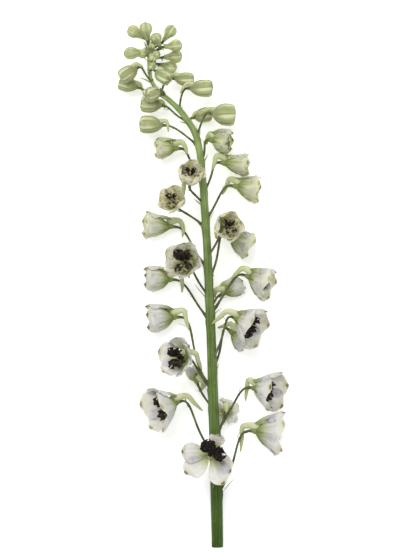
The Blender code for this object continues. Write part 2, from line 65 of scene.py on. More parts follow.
# The stem's centre line from the cut end to the tip: x, y, height and radius.
STEM_LINE = (
    (9.9, -180.0, 3.6, 3.95),
    (9.8, -172.0, 3.8, 3.95),
    (9.2, -144.0, 7.2, 4.1),
    (8.5, -118.0, 9.6, 3.85),
    (7.5, -93.0, 11.6, 3.6),
    (6.2, -54.0, 14.2, 3.3),
    (4.8, -17.0, 16.2, 3.1),
    (2.9, 24.0, 17.8, 2.8),
    (1.2, 52.0, 18.4, 2.65),
    (0.0, 70.0, 18.4, 2.5),
    (-1.3, 84.0, 18.3, 2.4),
    (-3.2, 97.0, 18.2, 2.25),
    (-6.6, 107.0, 18.0, 2.15),
    (-11.2, 114.5, 17.8, 2.05),
    (-17.0, 121.5, 17.5, 1.9),
    (-22.8, 127.0, 17.2, 1.7),
    (-29.0, 132.0, 17.0, 1.5),
    (-34.2, 138.5, 16.7, 1.3),
    (-36.8, 147.0, 16.2, 1.1),
    (-36.9, 156.0, 15.6, 0.9),
    (-35.8, 165.0, 15.0, 0.6),
)

# leaves_y is where the pedicel leaves the stem, seat the bloom's base, and facing the way
# its mouth looks. A sepal of that length starts at the angle flare to the facing line and
# ends at the angle curl. eye scales the dark centre (0 leaves it out of a closed bloom).
# spur is its length, knee the share of it where it bends, hook the angle it has turned down
# by past the knee, and sway how far its end swings sideways. roll turns the bloom round its
# facing line.
Bloom = namedtuple("Bloom", "name leaves_y seat facing length flare curl eye spur knee hook sway roll")
BLOOMS = tuple(Bloom(*row) for row in (
    ("bloom_01", -140, (5.6, -114.3, 24), (-0.08, -0.02, 1), 20.5, 60, 72, 1.2, 10, 0.3, 70, 3.7, -20),
    ("bloom_02", -143, (35.2, -99.5, 16), (0.98, -0.06, -0.05), 25, 50, 24, 0.85, 26, 0.28, 88, 4, 0),
    ("bloom_03", -116, (-18, -80, 16), (-0.87, -0.28, 0.42), 24, 57, 18, 1.04, 23.5, 0.27, 58, 4.3, 0),
    ("bloom_04", -101.5, (35, -70, 17), (0.88, -0.14, 0.45), 22.6, 55, 20, 0.9, 22, 0.36, 90, 3.9, 0),
    ("bloom_05", -104, (15.5, -86.5, 8.4), (0.08, -0.06, -0.99), 10, 62, 60, 0.4, 11, 0.32, 40, -1, 0),
    ("bloom_06", -72, (-12, -49, 24.5), (-0.6, 0.06, 0.8), 18, 62, 24, 0.94, 21, 0.3, 55, 3.7, 0),
    ("bloom_07", -84.5, (-4.5, -65.5, 6.4), (-0.36, 0.9, -0.24), 11.5, 46, -24, 0, 12, 0.4, 70, -3.2, 0),
    ("bloom_08", -49.5, (22.6, -22.5, 24), (0.83, -0.4, 0.42), 24.5, 56, 18, 1.04, 22, 0.27, 60, -4.4, 0),
    ("bloom_09", -57, (19.5, -31.5, 9.2), (0.78, -0.6, 0), 14.5, 46, 2, 0.45, 14, 0.32, 55, 3.4, 0),
    ("bloom_10", -71, (-19.5, -21.5, 9.4), (-0.98, -0.04, 0.05), 21, 52, -2, 0.7, 21, 0.34, 76, 4, 0),
    ("bloom_11", -19, (31, 6.5, 16), (0.88, -0.34, 0.28), 21.5, 52, 6, 0.85, 16.5, 0.38, 66, -3.7, 0),
    ("bloom_12", -17, (14, -5, 8), (0.8, 0.46, -0.24), 15.5, 50, -14, 0, 11, 0.32, 40, 3.2, 0),
    ("bloom_13", -24, (-22.5, 4.5, 7.4), (-0.97, 0.06, 0.12), 20, 54, -14, 0.65, 20, 0.4, 88, 3.9, 0),
    ("bloom_14", -7, (-9.8, 14.2, 27), (-0.32, 0.29, 0.9), 19.5, 60, 18, 1.04, 18, 0.28, 45, -3.7, 0),
    ("bloom_15", 12, (-22, 41, 7.8), (-0.98, 0.08, 0.1), 19.5, 40, 4, 0.42, 18, 0.45, 92, 3.9, 0),
    ("bloom_16", 20, (14.5, 38.5, 27), (0.3, 0.2, 0.93), 17, 62, 4, 0.8, 14, 0.32, 60, -3.7, 0),
    ("bloom_17", 5.5, (18.5, 34, 11.3), (0.85, -0.42, -0.06), 19, 46, 4, 0.58, 15, 0.32, 70, 3.7, 0),
    ("bloom_18", 40, (-18.6, 55.2, 22), (-0.28, 0.38, 0.88), 15.5, 62, 2, 0.76, 11, 0.32, 60, -3.7, 0),
    ("bloom_19", 56, (-9, 70, 27), (0.08, 0.66, 0.74), 17, 58, 0, 0.76, 14, 0.32, 50, -3.7, 0),
    ("bloom_20", 45, (22.5, 68.6, 11.5), (0.97, -0.14, 0.1), 19, 40, 12, 0.43, 18, 0.34, 72, 3.9, 0),
    ("bloom_21", 65, (14, 84.4, 17.8), (0.98, -0.1, 0.12), 17.5, 34, 6, 0, 16, 0.34, 76, -3.9, 0),
    ("bloom_22", 85, (6, 99.8, 18.5), (0.97, -0.1, 0.22), 16.5, 66, -18, 0, 11, 0.4, 88, 3.2, 0),
    ("bloom_23", 72, (-18.5, 94.6, 13), (-0.97, 0.04, 0.06), 16, 46, -6, 0, 14, 0.42, 74, 3.6, 0),
))

# Closed buds: radius is the body's at its thickest. The small ones at the tip have no spur.
Bud = namedtuple("Bud", "name leaves_y seat facing length radius spur hook sway")
BUDS = tuple(Bud(*row) for row in (
    ("bud_01", 102, (7.6, 118.2, 18.2), (0.98, -0.08, 0.05), 15, 7.1, 13, 40, 2.6),
    ("bud_02", 106, (-4.5, 116.5, 8.5), (0.8, 0.16, -0.24), 11, 4.4, 6, 50, -2.4),
    ("bud_03", 96, (-29, 110.5, 13), (-0.98, 0.04, 0.05), 15.5, 5.5, 12, 85, 2.6),
    ("bud_04", 113, (-30, 124, 14), (-0.98, 0.1, 0.1), 13, 5.2, 8, 70, -2.6),
    ("bud_05", 120.5, (-7.5, 135.5, 17.5), (0.99, 0, 0.05), 14.5, 5.2, 12, 60, -2.6),
    ("bud_06", 129.5, (-31, 132.5, 24), (-0.78, -0.3, 0.55), 10.5, 4.5, 5, 80, -2.4),
    ("bud_07", 146, (-31, 146, 22), (0.74, -0.52, 0.42), 11, 4.3, 5, 60, 2.4),
    ("bud_08", 140.5, (-46.5, 148.5, 18.5), (-0.82, -0.5, 0.2), 12.5, 4.6, 8, 60, 2.4),
    ("bud_09", 132, (-46.5, 137, 11), (-0.93, 0.3, -0.1), 12.5, 4.9, 8, 60, -2.4),
    ("bud_10", 131, (-18, 142.5, 11), (0.98, -0.06, 0.05), 12, 4.2, 8, 60, 2.4),
    ("tip_bud_1", 163, (-40.6, 170.4, 14), (-0.86, 0.5, 0.08), 13, 3.6, 0, 0, 0),
    ("tip_bud_2", 161.5, (-38, 168.2, 20), (-0.1, 0.98, 0.15), 13, 3.6, 0, 0, 0),
    ("tip_bud_3", 159.5, (-29.6, 164.4, 22), (-0.36, 0.86, 0.34), 9.5, 3.3, 0, 0, 0),
    ("tip_bud_4", 161.5, (-27, 168.6, 13.5), (0.58, 0.8, 0.04), 12.5, 3.5, 0, 0, 0),
    ("tip_bud_5", 157.5, (-26.2, 163.8, 19.5), (0.98, 0.1, 0.15), 12.5, 3.6, 0, 0, 0),
    ("tip_bud_6", 155.5, (-39.5, 160.2, 16), (-0.99, -0.05, 0.08), 15, 3.6, 0, 0, 0),
    ("tip_bud_7", 152, (-26.6, 157.2, 11.8), (0.97, 0.06, 0.1), 12.5, 3.8, 0, 0, 0),
    ("tip_bud_8", 148, (-29, 152.6, 4.8), (0.95, -0.24, 0.05), 11.5, 3.7, 0, 0, 0),
))

# A petal's middle surface: turn round the facing line, length, start and end angle, half
# width, the half angle it can fill at its root, its root's place, overlap, and its root's width
# as a share of the widest.
Blade = namedtuple("Blade", "turn length flare curl half_width room root lap foot")

# Each sepal's turn round the facing line, and its share of the bloom's length.
SEPAL_TURNS = (0, 72, 144, 216, 288)
SEPAL_SHARES = (1, 1, 1, 1, 1)
# The wide open bloom lowest on the stem has a short top sepal and lets its side sepals hang.
OPEN_BLOOM = "bloom_01"
OPEN_TURNS = (8, 112, 138, 215, 256)
OPEN_SHARES = (0.72, 0.92, 1.14, 1.12, 1.04)
OPEN_HALF_WIDTH = 0.34  # share of the sepal's length
OPEN_EYE_TURNS = (-42, 50, 68, -24)  # its eye's petals stand in two lobes
SEPAL_HALF_WIDTH = 0.46  # share of the sepal's length
SEPAL_ROOM = 39  # degrees each side of its middle line
SEPAL_ROOT = (1.5, 0.7)  # out from the facing line, and forward along it
SEPAL_FOOT = 0.10
TOP_SEPAL_ROOT = (5.6, -0.2)  # the same, on the spur's back
TOP_SEPAL_FOOT = 0.30
SEPAL_LAP = 1.0  # how far one edge stands before its neighbour
SEPAL_GRID = (34, 21, 1.4)  # rows, columns, and how much the rows crowd together at the tip
LOWEST_CLEARANCE = 0.25  # a petal's middle surface stays this far above the floor
SURFACE_KNEE = 1.2  # how far above that it begins to bend

RECEPTACLE_BACK, RECEPTACLE_FRONT = -1.6, 2.4
SEAT_GAP = 0.35  # between a stalk's end and its bloom, and between a receptacle and the eye
# The receptacle's rings: height along the facing line, and radius.
RECEPTACLE_RINGS = (
    (RECEPTACLE_BACK - SEAT_GAP, 1.15), (-1.3, 1.45), (-0.7, 1.75), (0.2, 2.0), (1.2, 2.15), (2.0, 2.0),
    (RECEPTACLE_FRONT, 1.3),
)
SPUR_ROOT = (0, 3.5, 0.9)
SPUR_RISE = -7  # degrees, the way it leaves the bloom, against straight back
SPUR_BEND = 0.32  # share of the spur's length that its knee takes up
SPUR_SWAY_END = 0.5  # share of the spur's length where it stops swinging sideways
SPUR_STEPS = 4
# The spur's radius along its length, from the throat to its end.
SPUR_GIRTH = ((0.0, 1.3), (0.10, 2.4), (0.25, 2.6), (0.50, 1.95), (0.75, 1.4), (0.92, 0.85), (1.0, 0.3))
BUD_KNEE = 0.4  # share of a bud's spur where it bends

EYE_BASE = RECEPTACLE_FRONT + SEAT_GAP
EYE_STALK = (1.0, 1.6, 6.6)  # radius at its foot and its top, height
EYE_ROOM = 38
# The eye's petals: turn, length, start and end angle, and half width.
EYE_PETALS = (
    (-42, 10.5, 16, 80, 3.6),
    (38, 10.0, 14, 76, 3.4),
    (132, 10.5, 24, 88, 4.0),
    (-156, 10.5, 22, 84, 3.9),
)
LOWER_PETALS = (2, 3)  # the bearded ones
EYE_GRID = (18, 13, 1.4)
FILAMENT_RADII = (0.13,) * 9
ANTHER_RINGS = ((-0.5, 0.12), (-0.25, 0.36), (0, 0.38), (0.35, 0.14))  # height and radius

# A bud's girth along its length, from its base to its tip.
BUD_GIRTH = ((0, 0.16), (0.08, 0.36), (0.32, 0.82), (0.68, 1), (0.87, 0.92), (0.96, 0.66), (1, 0.06))
TIP_BUD_GIRTH = ((0, 0.3), (0.1, 0.34), (0.33, 0.54), (0.62, 1), (0.8, 0.93), (0.93, 0.6), (1, 0.1))
BUD_GRID = (22, 13, 1.15)
BUD_SPUR_SCALE = 0.7  # how thick a bud's spur is beside a bloom's

PEDICEL_END = 1.2  # the straight part of a stalk, behind its bloom
PEDICEL_ROWS = 26
PEDICEL_INSIDE = 0.8  # how far it goes on over the gap and into its bloom

# The young bracts at the growing tip: start, way they point, and width.
TIP_BRACTS = (
    ((-36.6, 149.0, 17.0), (0.35, 0.90, 0.45), 3.4),
    ((-36.4, 153.0, 16.6), (0.75, 0.62, 0.40), 3.2),
    ((-36.8, 152.0, 16.8), (0.10, 0.95, 0.60), 3.0),
    ((-36.0, 157.0, 16.2), (0.95, 0.30, 0.35), 2.8),
    ((-36.2, 160.0, 15.8), (0.55, 0.80, 0.55), 2.6),
    ((-36.6, 158.0, 16.0), (-0.45, 0.80, 0.60), 2.6),
    ((-35.6, 163.5, 15.2), (0.30, 0.90, 0.50), 2.2),
)

# The smallest buds, with no stalks yet, which stand on the growing tip.
SMALLEST_BUDS = tuple(Bud(*row) for row in (
    ("smallest_1", 158.5, (-37, 158.5, 16.5), (-0.86, 0.16, 0.48), 7.5, 2.7, 0, 0, 0),
    ("smallest_2", 155, (-36.8, 155, 16), (0.5, 0.3, 0.8), 8, 2.6, 0, 0, 0),
    ("smallest_3", 158, (-36.6, 158, 16), (0.85, 0.1, 0.5), 8.5, 2.4, 0, 0, 0),
    ("smallest_4", 151, (-36.9, 151, 16.6), (0.5, -0.1, 0.86), 6.5, 2.3, 0, 0, 0),
    ("smallest_5", 161, (-36.2, 161, 15.6), (0.24, 0.8, 0.55), 7.5, 2.3, 0, 0, 0),
))

YOUNG_FROM, YOUNG_SPAN = -30.0, 150.0  # along the spike: where blooms begin to be greener
OPEN_SHADE_AGE = -0.3  # painted shade: below 0 the sepals are painted lilac-grey, which dims the open bloom that faces straight up into the light
SPECKLED = 1.0  # added to the seed of a cream sepal with brown specks
LOOKS_UP = 0.7  # blooms that face up more than this, and aren't among the oldest, are speckled

BRACT_GRID = (12, 5, 1)
BRACT_THICKNESS = 0.22
BRACT_BELOW = 1.5  # how far below its stalk a bract leaves the stem
BUD_STALK = 0.9  # how thick a bud's stalk is beside a bloom's

# Rows and sides of the tubes.
STEM_ROWS, STEM_SIDES = 260, 54
STALK_SIDES, RECEPTACLE_SIDES, EYE_STALK_SIDES = 10, 14, 12
SPUR_ROWS, SPUR_SIDES = 32, 16
FILAMENT_SIDES, ANTHER_SIDES = 5, 6

# The stem swells where a stalk leaves it: share of its radius, length, and half angle round it.
SWELL, SWELL_LENGTH, SWELL_ANGLE = 0.16, 3.2, 0.55
# The stem's age, which makes it paler, at places along the spike.
STEM_AGES = ((-180, 0.0), (-140, 0.08), (-105, 0.28), (-40, 0.32), (70, 1.0))
# The cut face's rings: share of the stem's radius, and how far they stand out past its end.
CUT_RINGS = ((1.0, 0.02), (0.93, 0.20), (0.86, 0.19), (0.55, 0.12), (0.22, 0.09))
CUT_MIDDLE = 0.07  # the same for its middle point

FLOOR_GAP, HAIR_FLOOR_GAP = 0.02, 0.05  # tubes and hairs stay this far above the floor
STEM_SEED = 0.3  # picks the stem's pattern of stripes
NO_SEED = 0.5  # for parts that don't vary

# The places of a piece's skins among its materials. Its main skin comes first, with number 0.
STALK_SKIN, BRACT_SKIN, CUT_SKIN, SMALLEST_BUD_SKIN = 1, 2, 3, 4
SPUR_SKIN, RECEPTACLE_SKIN = 1, 2
HAIR_SKIN, ANTHER_SKIN = 1, 2
# The places of a Mix node's colour sockets.
MIX_SHARE, MIX_FIRST, MIX_SECOND, MIX_RESULT = 0, 6, 7, 2

# The stage, in metres. A lamp has a name, a size and a place.
FLOOR_REACH = 6.0
FLOOR_GLOW = 0.42  # strength of its own light
FLOOR_SHADE = 0.985  # how bright the floor's faint clouds are beside the rest
VIEW_MIDDLE = (-0.0017, 0.0062, 0.016)  # what the camera and the lamps look at
KEY_LAMP = ("key_light", 1.1, (-0.35, 0.85, 1.5))
FILL_LAMP = ("fill_light", 1.4, (0.6, -0.5, 1.6))
SENSOR_WIDTH = 36.0  # millimetres


def smooth_step(values, low, high):
    share = np.clip((values - low) / (high - low), 0, 1)
    return share * share * (3 - 2 * share)


def wobble(number):
    """A fixed spread of values from -1 to 1, so that no two petals are alike."""
    return math.sin(number * 12.9898 + 4.1)


def seed_of(number):
    """The same spread from 0 to 1."""
    return wobble(number) / 2 + 0.5


def youth(y):
    """0 for the oldest blooms, low on the spike, and 1 for the youngest."""
    return float(np.clip((y - YOUNG_FROM) / YOUNG_SPAN, 0, 1))


def unit(vectors):
    """The same directions, of length 1."""
    return vectors / (np.linalg.norm(vectors, axis=-1, keepdims=True) + 1e-9)


def angles(sides):
    return np.linspace(0, 2 * np.pi, sides, endpoint=False)


def above_floor(points, gap=FLOOR_GAP):
    return np.maximum(points, (-np.inf, -np.inf, gap))


def spike_placer(one, roll=0):
    """A function that moves points from a bloom's own frame to the spike's, in millimetres."""
    front = Vector(one.facing).normalized()
    up = (Vector((0, 1, 0)) - front * front.y).normalized()
    side = up.cross(front)
    turn = np.array(Matrix((side, up, front)).transposed() @ Matrix.Rotation(math.radians(roll), 3, "Z"))
    return lambda points: np.asarray(points) @ turn.T + one.seat


def through(points, count):
    """A smooth line of that many points through the given ones, evenly spread along it."""
    given = np.array(points, float)
    ends = np.vstack([2 * given[0] - given[1], given, 2 * given[-1] - given[-2]])
    t = np.linspace(0, len(given) - 1, count)
    first = np.minimum(t.astype(int), len(given) - 2)
    share = (t - first)[:, None]
    before, start, end, after = (ends[first + step] for step in range(4))
    return 0.5 * (
        2 * start + (end - before) * share
        + (2 * before - 5 * start + 4 * end - after) * share ** 2
        + (3 * start - before - 3 * end + after) * share ** 3
    )


def stem_point(y):
    """(point, way along, radius) of the stem's centre line at that y."""
    for low, high in zip(STEM_LINE, STEM_LINE[1:]):
        if y <= high[1]:
            break
    low, high = np.array(low), np.array(high)
    here = low + (high - low) * (y - low[1]) / (high[1] - low[1])
    return here[:3], unit(high[:3] - low[:3]), here[3]


def tip_round(along):
    """1 along a petal, and down to nearly 0 round its tip."""
    past = np.clip((along - 0.86) / 0.14, 0, 1)
    return np.sqrt(np.maximum(1 - past ** 2, 0.004))


def blade_outline(along, foot):
    """Half width of a petal along its length, as a share of its widest, with a rounded tip."""
    body = foot * (1 - along) ** 2 + np.sin(np.pi * np.minimum(along, 0.925) ** 1.55) ** 0.65
    return body * tip_round(along)


def blade_surface(along, across, blade):
    """Points of a petal's middle surface in its bloom's frame. along runs 0 to 1, across -1 to 1."""
    start = math.radians(blade.flare)
    bend = math.radians(blade.curl - blade.flare)
    bend = bend if abs(bend) > 1e-3 else 1e-3
    angle = start + bend * along
    out = blade.root[0] + blade.length * (math.cos(start) - np.cos(angle)) / bend
    forward = blade.root[1] + blade.length * (np.sin(angle) - math.sin(start)) / bend
    room = out * math.tan(math.radians(blade.room)) * (0.85 + 0.75 * along)
    half = np.minimum(blade.half_width * blade_outline(along, blade.foot), room)
    openness = min(max(blade.curl / 70, 0), 1)
    hollow = np.maximum(out, half * 0.75) * (1 + 0.9 * openness) + 0.8
    arc = np.clip(across * half / hollow, -1.35, 1.35)
    sideways = hollow * np.sin(arc)
    lap = blade.lap * across * np.minimum(1, along / 0.3) * tip_round(along)
    inward = hollow * (1 - np.cos(arc)) - lap
    out = out - inward * np.cos(angle)
    forward = forward + inward * np.sin(angle)
    phi = math.radians(blade.turn)
    return np.stack([
        out * math.sin(phi) + sideways * math.cos(phi),
        out * math.cos(phi) - sideways * math.sin(phi),
        forward,
    ], axis=-1)


def grid(rows, columns, crowding):
    """along and across of a sheet's points. Crowding draws its rows together towards the tip."""
    along = 1 - (1 - np.linspace(0, 1, rows)) ** crowding
    return np.meshgrid(along, np.linspace(-1, 1, columns), indexing="ij")


def grid_normals(points):
    return unit(np.cross(np.gradient(points, axis=0), np.gradient(points, axis=1)))


def grid_faces(index):
    """Four-sided faces between the rows and columns of a grid of point numbers."""
    corners = [index[:-1, :-1], index[1:, :-1], index[1:, 1:], index[:-1, 1:]]
    return np.stack(corners, axis=-1).reshape(-1, 4)


def ring_faces(index):
    """The same between rings of point numbers, each of which closes on itself."""
    return grid_faces(np.hstack([index, index[:, :1]]))


def fan(ring, middle):
    """Triangles from a closed ring of point numbers to one point."""
    return np.stack([ring, np.roll(ring, -1), np.full_like(ring, middle)], axis=-1)


def rest_on_floor(points):
    """Bends what would dip into the floor flat along it, with a soft knee."""
    height = points[..., 2]
    bend = LOWEST_CLEARANCE + SURFACE_KNEE
    points[..., 2] = np.where(
        height < bend,
        LOWEST_CLEARANCE + SURFACE_KNEE * np.exp((np.minimum(height, bend) - bend) / SURFACE_KNEE),
        height,
    )
    return points


def tube_frames(line):
    """Two directions square to the line at each of its points, carried along without twist."""
    tangent = unit(np.gradient(line, axis=0))
    side = np.cross(tangent[0], (0.0, 0.0, 1.0))
    if np.linalg.norm(side) < 0.1:
        side = np.cross(tangent[0], (0.0, 1.0, 0.0))
    sides = []
    for step in tangent:
        side = unit(side - step * side.dot(step))
        sides.append(side)
    return np.array(sides), np.cross(tangent, sides)


def ring_directions(side, up, count):
    """That many directions round a line, from the two that are square to it."""
    phi = angles(count)[:, None]
    return side[..., None, :] * np.cos(phi) + up[..., None, :] * np.sin(phi)


def girth(table, share):
    """A smooth value between the rows of a (share, value) table."""
    shares, values = np.array(table).T
    slopes = np.gradient(values, shares)
    index = np.clip(np.searchsorted(shares, share, side="right") - 1, 0, len(shares) - 2)
    width = shares[index + 1] - shares[index]
    t = (share - shares[index]) / width
    return (
        (2 * t ** 3 - 3 * t ** 2 + 1) * values[index] + (t ** 3 - 2 * t ** 2 + t) * width * slopes[index]
        + (3 * t ** 2 - 2 * t ** 3) * values[index + 1] + (t ** 3 - t ** 2) * width * slopes[index + 1]
    )


class Piece:
    """One piece's mesh while it is put together, with what its materials read at each point."""

    def __init__(self):
        self.points, self.places, self.ages = [], [], []
        self.faces, self.skins = [], []
        self.count = 0

    def add(self, points, faces, places, age, skin=0):
        flat = np.reshape(points, (-1, 3))
        self.points.append(flat)
        self.places.append(np.reshape(places, (-1, 3)))
        self.ages.append(np.broadcast_to(age, len(flat)))
        for block in faces:
            self.faces.extend((block + self.count).tolist())
            self.skins.extend([skin] * len(block))
        self.count += len(flat)

    def add_sheet(self, points, thickness, along, across, seed, age, skin=0):
        """A thin sheet round a grid of points: both its faces and its rim."""
        half = grid_normals(points) * thickness[..., None] / 2
        index = np.arange(along.size).reshape(along.shape)
        front = grid_faces(index)
        back = front[:, ::-1] + along.size
        edge = np.concatenate([index[0, :-1], index[:-1, -1], index[-1, :0:-1], index[:0:-1, 0]])
        after = np.roll(edge, -1)
        rim = np.stack([edge, after, after + along.size, edge + along.size], axis=-1)
        place = np.stack([along, across, np.full_like(along, seed)], axis=-1)
        self.add([points + half, points - half], (front, back, rim), [place, place], age, skin)

    def add_tube(self, line, radii, sides, seed, age, skin=0):
        """Rings round a line, closed by a point at each end. radii has one value or ring a row."""
        rows = len(line)
        radii = np.broadcast_to(np.reshape(radii, (rows, -1)), (rows, sides))
        rings = line[:, None] + radii[..., None] * ring_directions(*tube_frames(line), sides)
        index = np.arange(rows * sides).reshape(rows, sides)
        walls = ring_faces(index)[:, [0, 3, 2, 1]]
        first = fan(index[0], index.size)[:, [1, 0, 2]]
        last = fan(index[-1], index.size + 1)
        points = np.concatenate([above_floor(rings).reshape(-1, 3), line[[0, -1]]])
        along, around = np.meshgrid(np.linspace(0, 1, rows), np.cos(angles(sides)), indexing="ij")
        places = np.stack([along, around, np.full_like(along, seed)], axis=-1).reshape(-1, 3)
        places = np.concatenate([places, [[0, 0, seed], [1, 0, seed]]])
        self.add(points, (walls, first, last), places, age, skin)

    def build(self, name, materials, slot, *nodes):
        mesh = bpy.data.meshes.new(name)
        mesh.from_pydata((np.concatenate(self.points) * MM).tolist(), [], self.faces)
        mesh.polygons.foreach_set("material_index", self.skins)
        place = mesh.attributes.new(PLACE, "FLOAT_VECTOR", "POINT")
        place.data.foreach_set("vector", np.concatenate(self.places).astype(np.float32).ravel())
        age = mesh.attributes.new(AGE, "FLOAT", "POINT")
        age.data.foreach_set("value", np.concatenate(self.ages).astype(np.float32))
        for material in materials:
            mesh.materials.append(material)
        mesh.shade_smooth()
        mesh.validate()
        mesh.update()
        made = bpy.data.objects.new(name, mesh)
        bpy.context.scene.collection.objects.link(made)
        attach(made, BODY)
        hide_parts(*nodes)
        return made


# Shaders

class Value:
    """What a node puts out. Arithmetic on it adds the nodes that work the result out."""

    def __init__(self, nodes, socket):
        self.nodes = nodes
        self.socket = socket

    def __add__(self, other):
        return self.nodes.math("ADD", self, other)

    def __sub__(self, other):
        return self.nodes.math("SUBTRACT", self, other)

    def __rsub__(self, other):
        return self.nodes.math("SUBTRACT", other, self)

    def __mul__(self, other):
        return self.nodes.math("MULTIPLY", self, other)

    def __truediv__(self, other):
        return self.nodes.math("DIVIDE", self, other)

    def __abs__(self):
        return self.nodes.math("ABSOLUTE", self)

    def most(self, other):
        return self.nodes.math("MAXIMUM", self, other)

    def step(self, low, high):
        """0 below low and 1 above high, smooth in between. low may be the larger one."""
        inputs = {"Value": self, "From Min": low, "From Max": high}
        return self.nodes.value("Result", "ShaderNodeMapRange", inputs, interpolation_type="SMOOTHSTEP")


class Nodes:
    """Adds nodes to one tree and joins them, laid out in columns."""

    def __init__(self, tree):
        self.tree = tree
        self.made = 0

    def join(self, value, socket):
        if isinstance(value, Value):
            self.tree.links.new(value.socket, socket)
        elif socket.type == "RGBA":
            socket.default_value = (*value, 1.0)
        else:
            socket.default_value = value

    def add(self, kind, inputs=None, **options):
        node = self.tree.nodes.new(kind)
        node.location = (self.made // 4 * 190, -(self.made % 4) * 190)
        self.made += 1
        for name, option in options.items():
            setattr(node, name, option)
        for name, value in (inputs or {}).items():
            self.join(value, node.inputs[name])
        return node

    def value(self, output, kind, inputs=None, **options):
        return Value(self, self.add(kind, inputs, **options).outputs[output])

    def math(self, operation, *values):
        return self.value(0, "ShaderNodeMath", dict(enumerate(values)), operation=operation)

    def mix(self, share, first, second):
        inputs = {MIX_SHARE: share, MIX_FIRST: first, MIX_SECOND: second}
        return self.value(MIX_RESULT, "ShaderNodeMix", inputs, data_type="RGBA")

    def paint(self, colour, *coats):
        """A colour under coats of others, each with how much of it covers what is below."""
        for share, coat in coats:
            colour = self.mix(share, colour, coat)
        return colour

    def vector(self, x, y, z):
        return self.value("Vector", "ShaderNodeCombineXYZ", {"X": x, "Y": y, "Z": z})

    def noise(self, vector, scale, detail=3.0):
        inputs = {"Vector": vector, "Scale": scale, "Detail": detail}
        return self.value("Fac", "ShaderNodeTexNoise", inputs)

    def group(self, name, **inputs):
        node = self.add("ShaderNodeGroup", inputs, node_tree=node_group(name))
        return [Value(self, socket) for socket in node.outputs]

    def growth(self):
        """Along, across, seed and age."""
        return self.group("plant place")

    def lines(self, along, across, seed, number):
        return self.group("petal veins", Along=along, Across=across, Seed=seed, Number=number)[0]

    def blotches(self, scale, low, high):
        return self.group("mottle", Scale=scale, Low=low, High=high)[0]

    def tip(self, along, across, seed, reach):
        """The tip's spot and the halo round it."""
        return self.group("tip spot", Along=along, Across=across, Seed=seed, Reach=reach)


def fill_place(nodes):
    """Where a point is on its petal, bud or stalk, and that part's seed and age, from the mesh."""
    place = nodes.value("Vector", "ShaderNodeAttribute", attribute_name=PLACE)
    parts = nodes.add("ShaderNodeSeparateXYZ", {"Vector": place})
    age = nodes.value("Fac", "ShaderNodeAttribute", attribute_name=AGE)
    return [*(Value(nodes, part) for part in parts.outputs), age]


def fill_veins(nodes, along, across, seed, number):
    """Fine lines that run from a petal's root to its tip, and close up at both ends."""
    sway = nodes.noise(nodes.vector(across, along, seed), 3.5) * 0.16 - 0.08
    turned = nodes.math("FRACT", (across + sway) * (number * 0.5) + 0.5)
    return [abs(turned - 0.5).step(0.22, 0.02) * along.step(1.0, 0.35)]


def fill_mottle(nodes, scale, low, high):
    """Soft blotches over a surface, from 0 to 1, by the place in the object."""
    where = nodes.value("Object", "ShaderNodeTexCoord")
    return [nodes.noise(where, scale, 4.0).step(low, high)]


def fill_tip(nodes, along, across, seed, reach):
    """The small dark gland spot on a sepal's tip, with ragged edges, and its halo."""
    ragged = nodes.noise(nodes.vector(across, along, seed), 7.0) * 0.9 - 0.45
    lengthwise = (0.975 - along) / reach
    sideways = (across - 0.1) * 1.1
    far = nodes.math("SQRT", lengthwise * lengthwise + sideways * sideways) + ragged
    return [far.step(0.95, 0.45), far.step(2.6, 0.8)]


# Each group's inputs with their defaults, its outputs, and what fills it.
GROUPS = {
    "plant place": ({}, ("Along", "Across", "Seed", "Age"), fill_place),
    "petal veins": ({"Along": 0.0, "Across": 0.0, "Seed": 0.0, "Number": 9.0}, ("Lines",), fill_veins),
    "mottle": ({"Scale": 200.0, "Low": 0.4, "High": 0.6}, ("Blotches",), fill_mottle),
    "tip spot": ({"Along": 0.0, "Across": 0.0, "Seed": 0.0, "Reach": 0.1}, ("Spot", "Halo"), fill_tip),
}


def node_group(name):
    """The group of that name, which is made when it is first asked for."""
    if name in bpy.data.node_groups:
        return bpy.data.node_groups[name]
    inputs, outputs, fill = GROUPS[name]
    tree = bpy.data.node_groups.new(name, "ShaderNodeTree")
    for wanted, default in inputs.items():
        socket = tree.interface.new_socket(wanted, in_out="INPUT", socket_type="NodeSocketFloat")
        socket.default_value = default
    for result in outputs:
        tree.interface.new_socket(result, in_out="OUTPUT", socket_type="NodeSocketFloat")
    nodes = Nodes(tree)
    source = nodes.add("NodeGroupInput")
    results = fill(nodes, *(Value(nodes, source.outputs[wanted]) for wanted in inputs))
    nodes.add("NodeGroupOutput", dict(zip(outputs, results)))
    return tree


class Surface(Nodes):
    """A new material's nodes, with constant values set on its Principled BSDF's own sockets."""

    def __init__(self, name, **constants):
        self.material = bpy.data.materials.new(name)
        self.material.use_nodes = True
        super().__init__(self.material.node_tree)
        shader = self.tree.nodes["Principled BSDF"]
        shader.location = (1600, 0)
        self.tree.nodes["Material Output"].location = (1900, 0)
        self.inputs = shader.inputs
        for name, value in constants.items():
            self.join(value, self.inputs[name.replace("_", " ")])

    def finish(self, colour, roughness=None, bump=None):
        """The material. bump is a height with the strength and the distance it has in relief."""
        self.join(colour, self.inputs["Base Color"])
        if roughness:
            self.join(roughness, self.inputs["Roughness"])
        if bump:
            relief = dict(zip(("Height", "Strength", "Distance"), bump))
            self.join(self.value("Normal", "ShaderNodeBump", relief), self.inputs["Normal"])
        return self.material


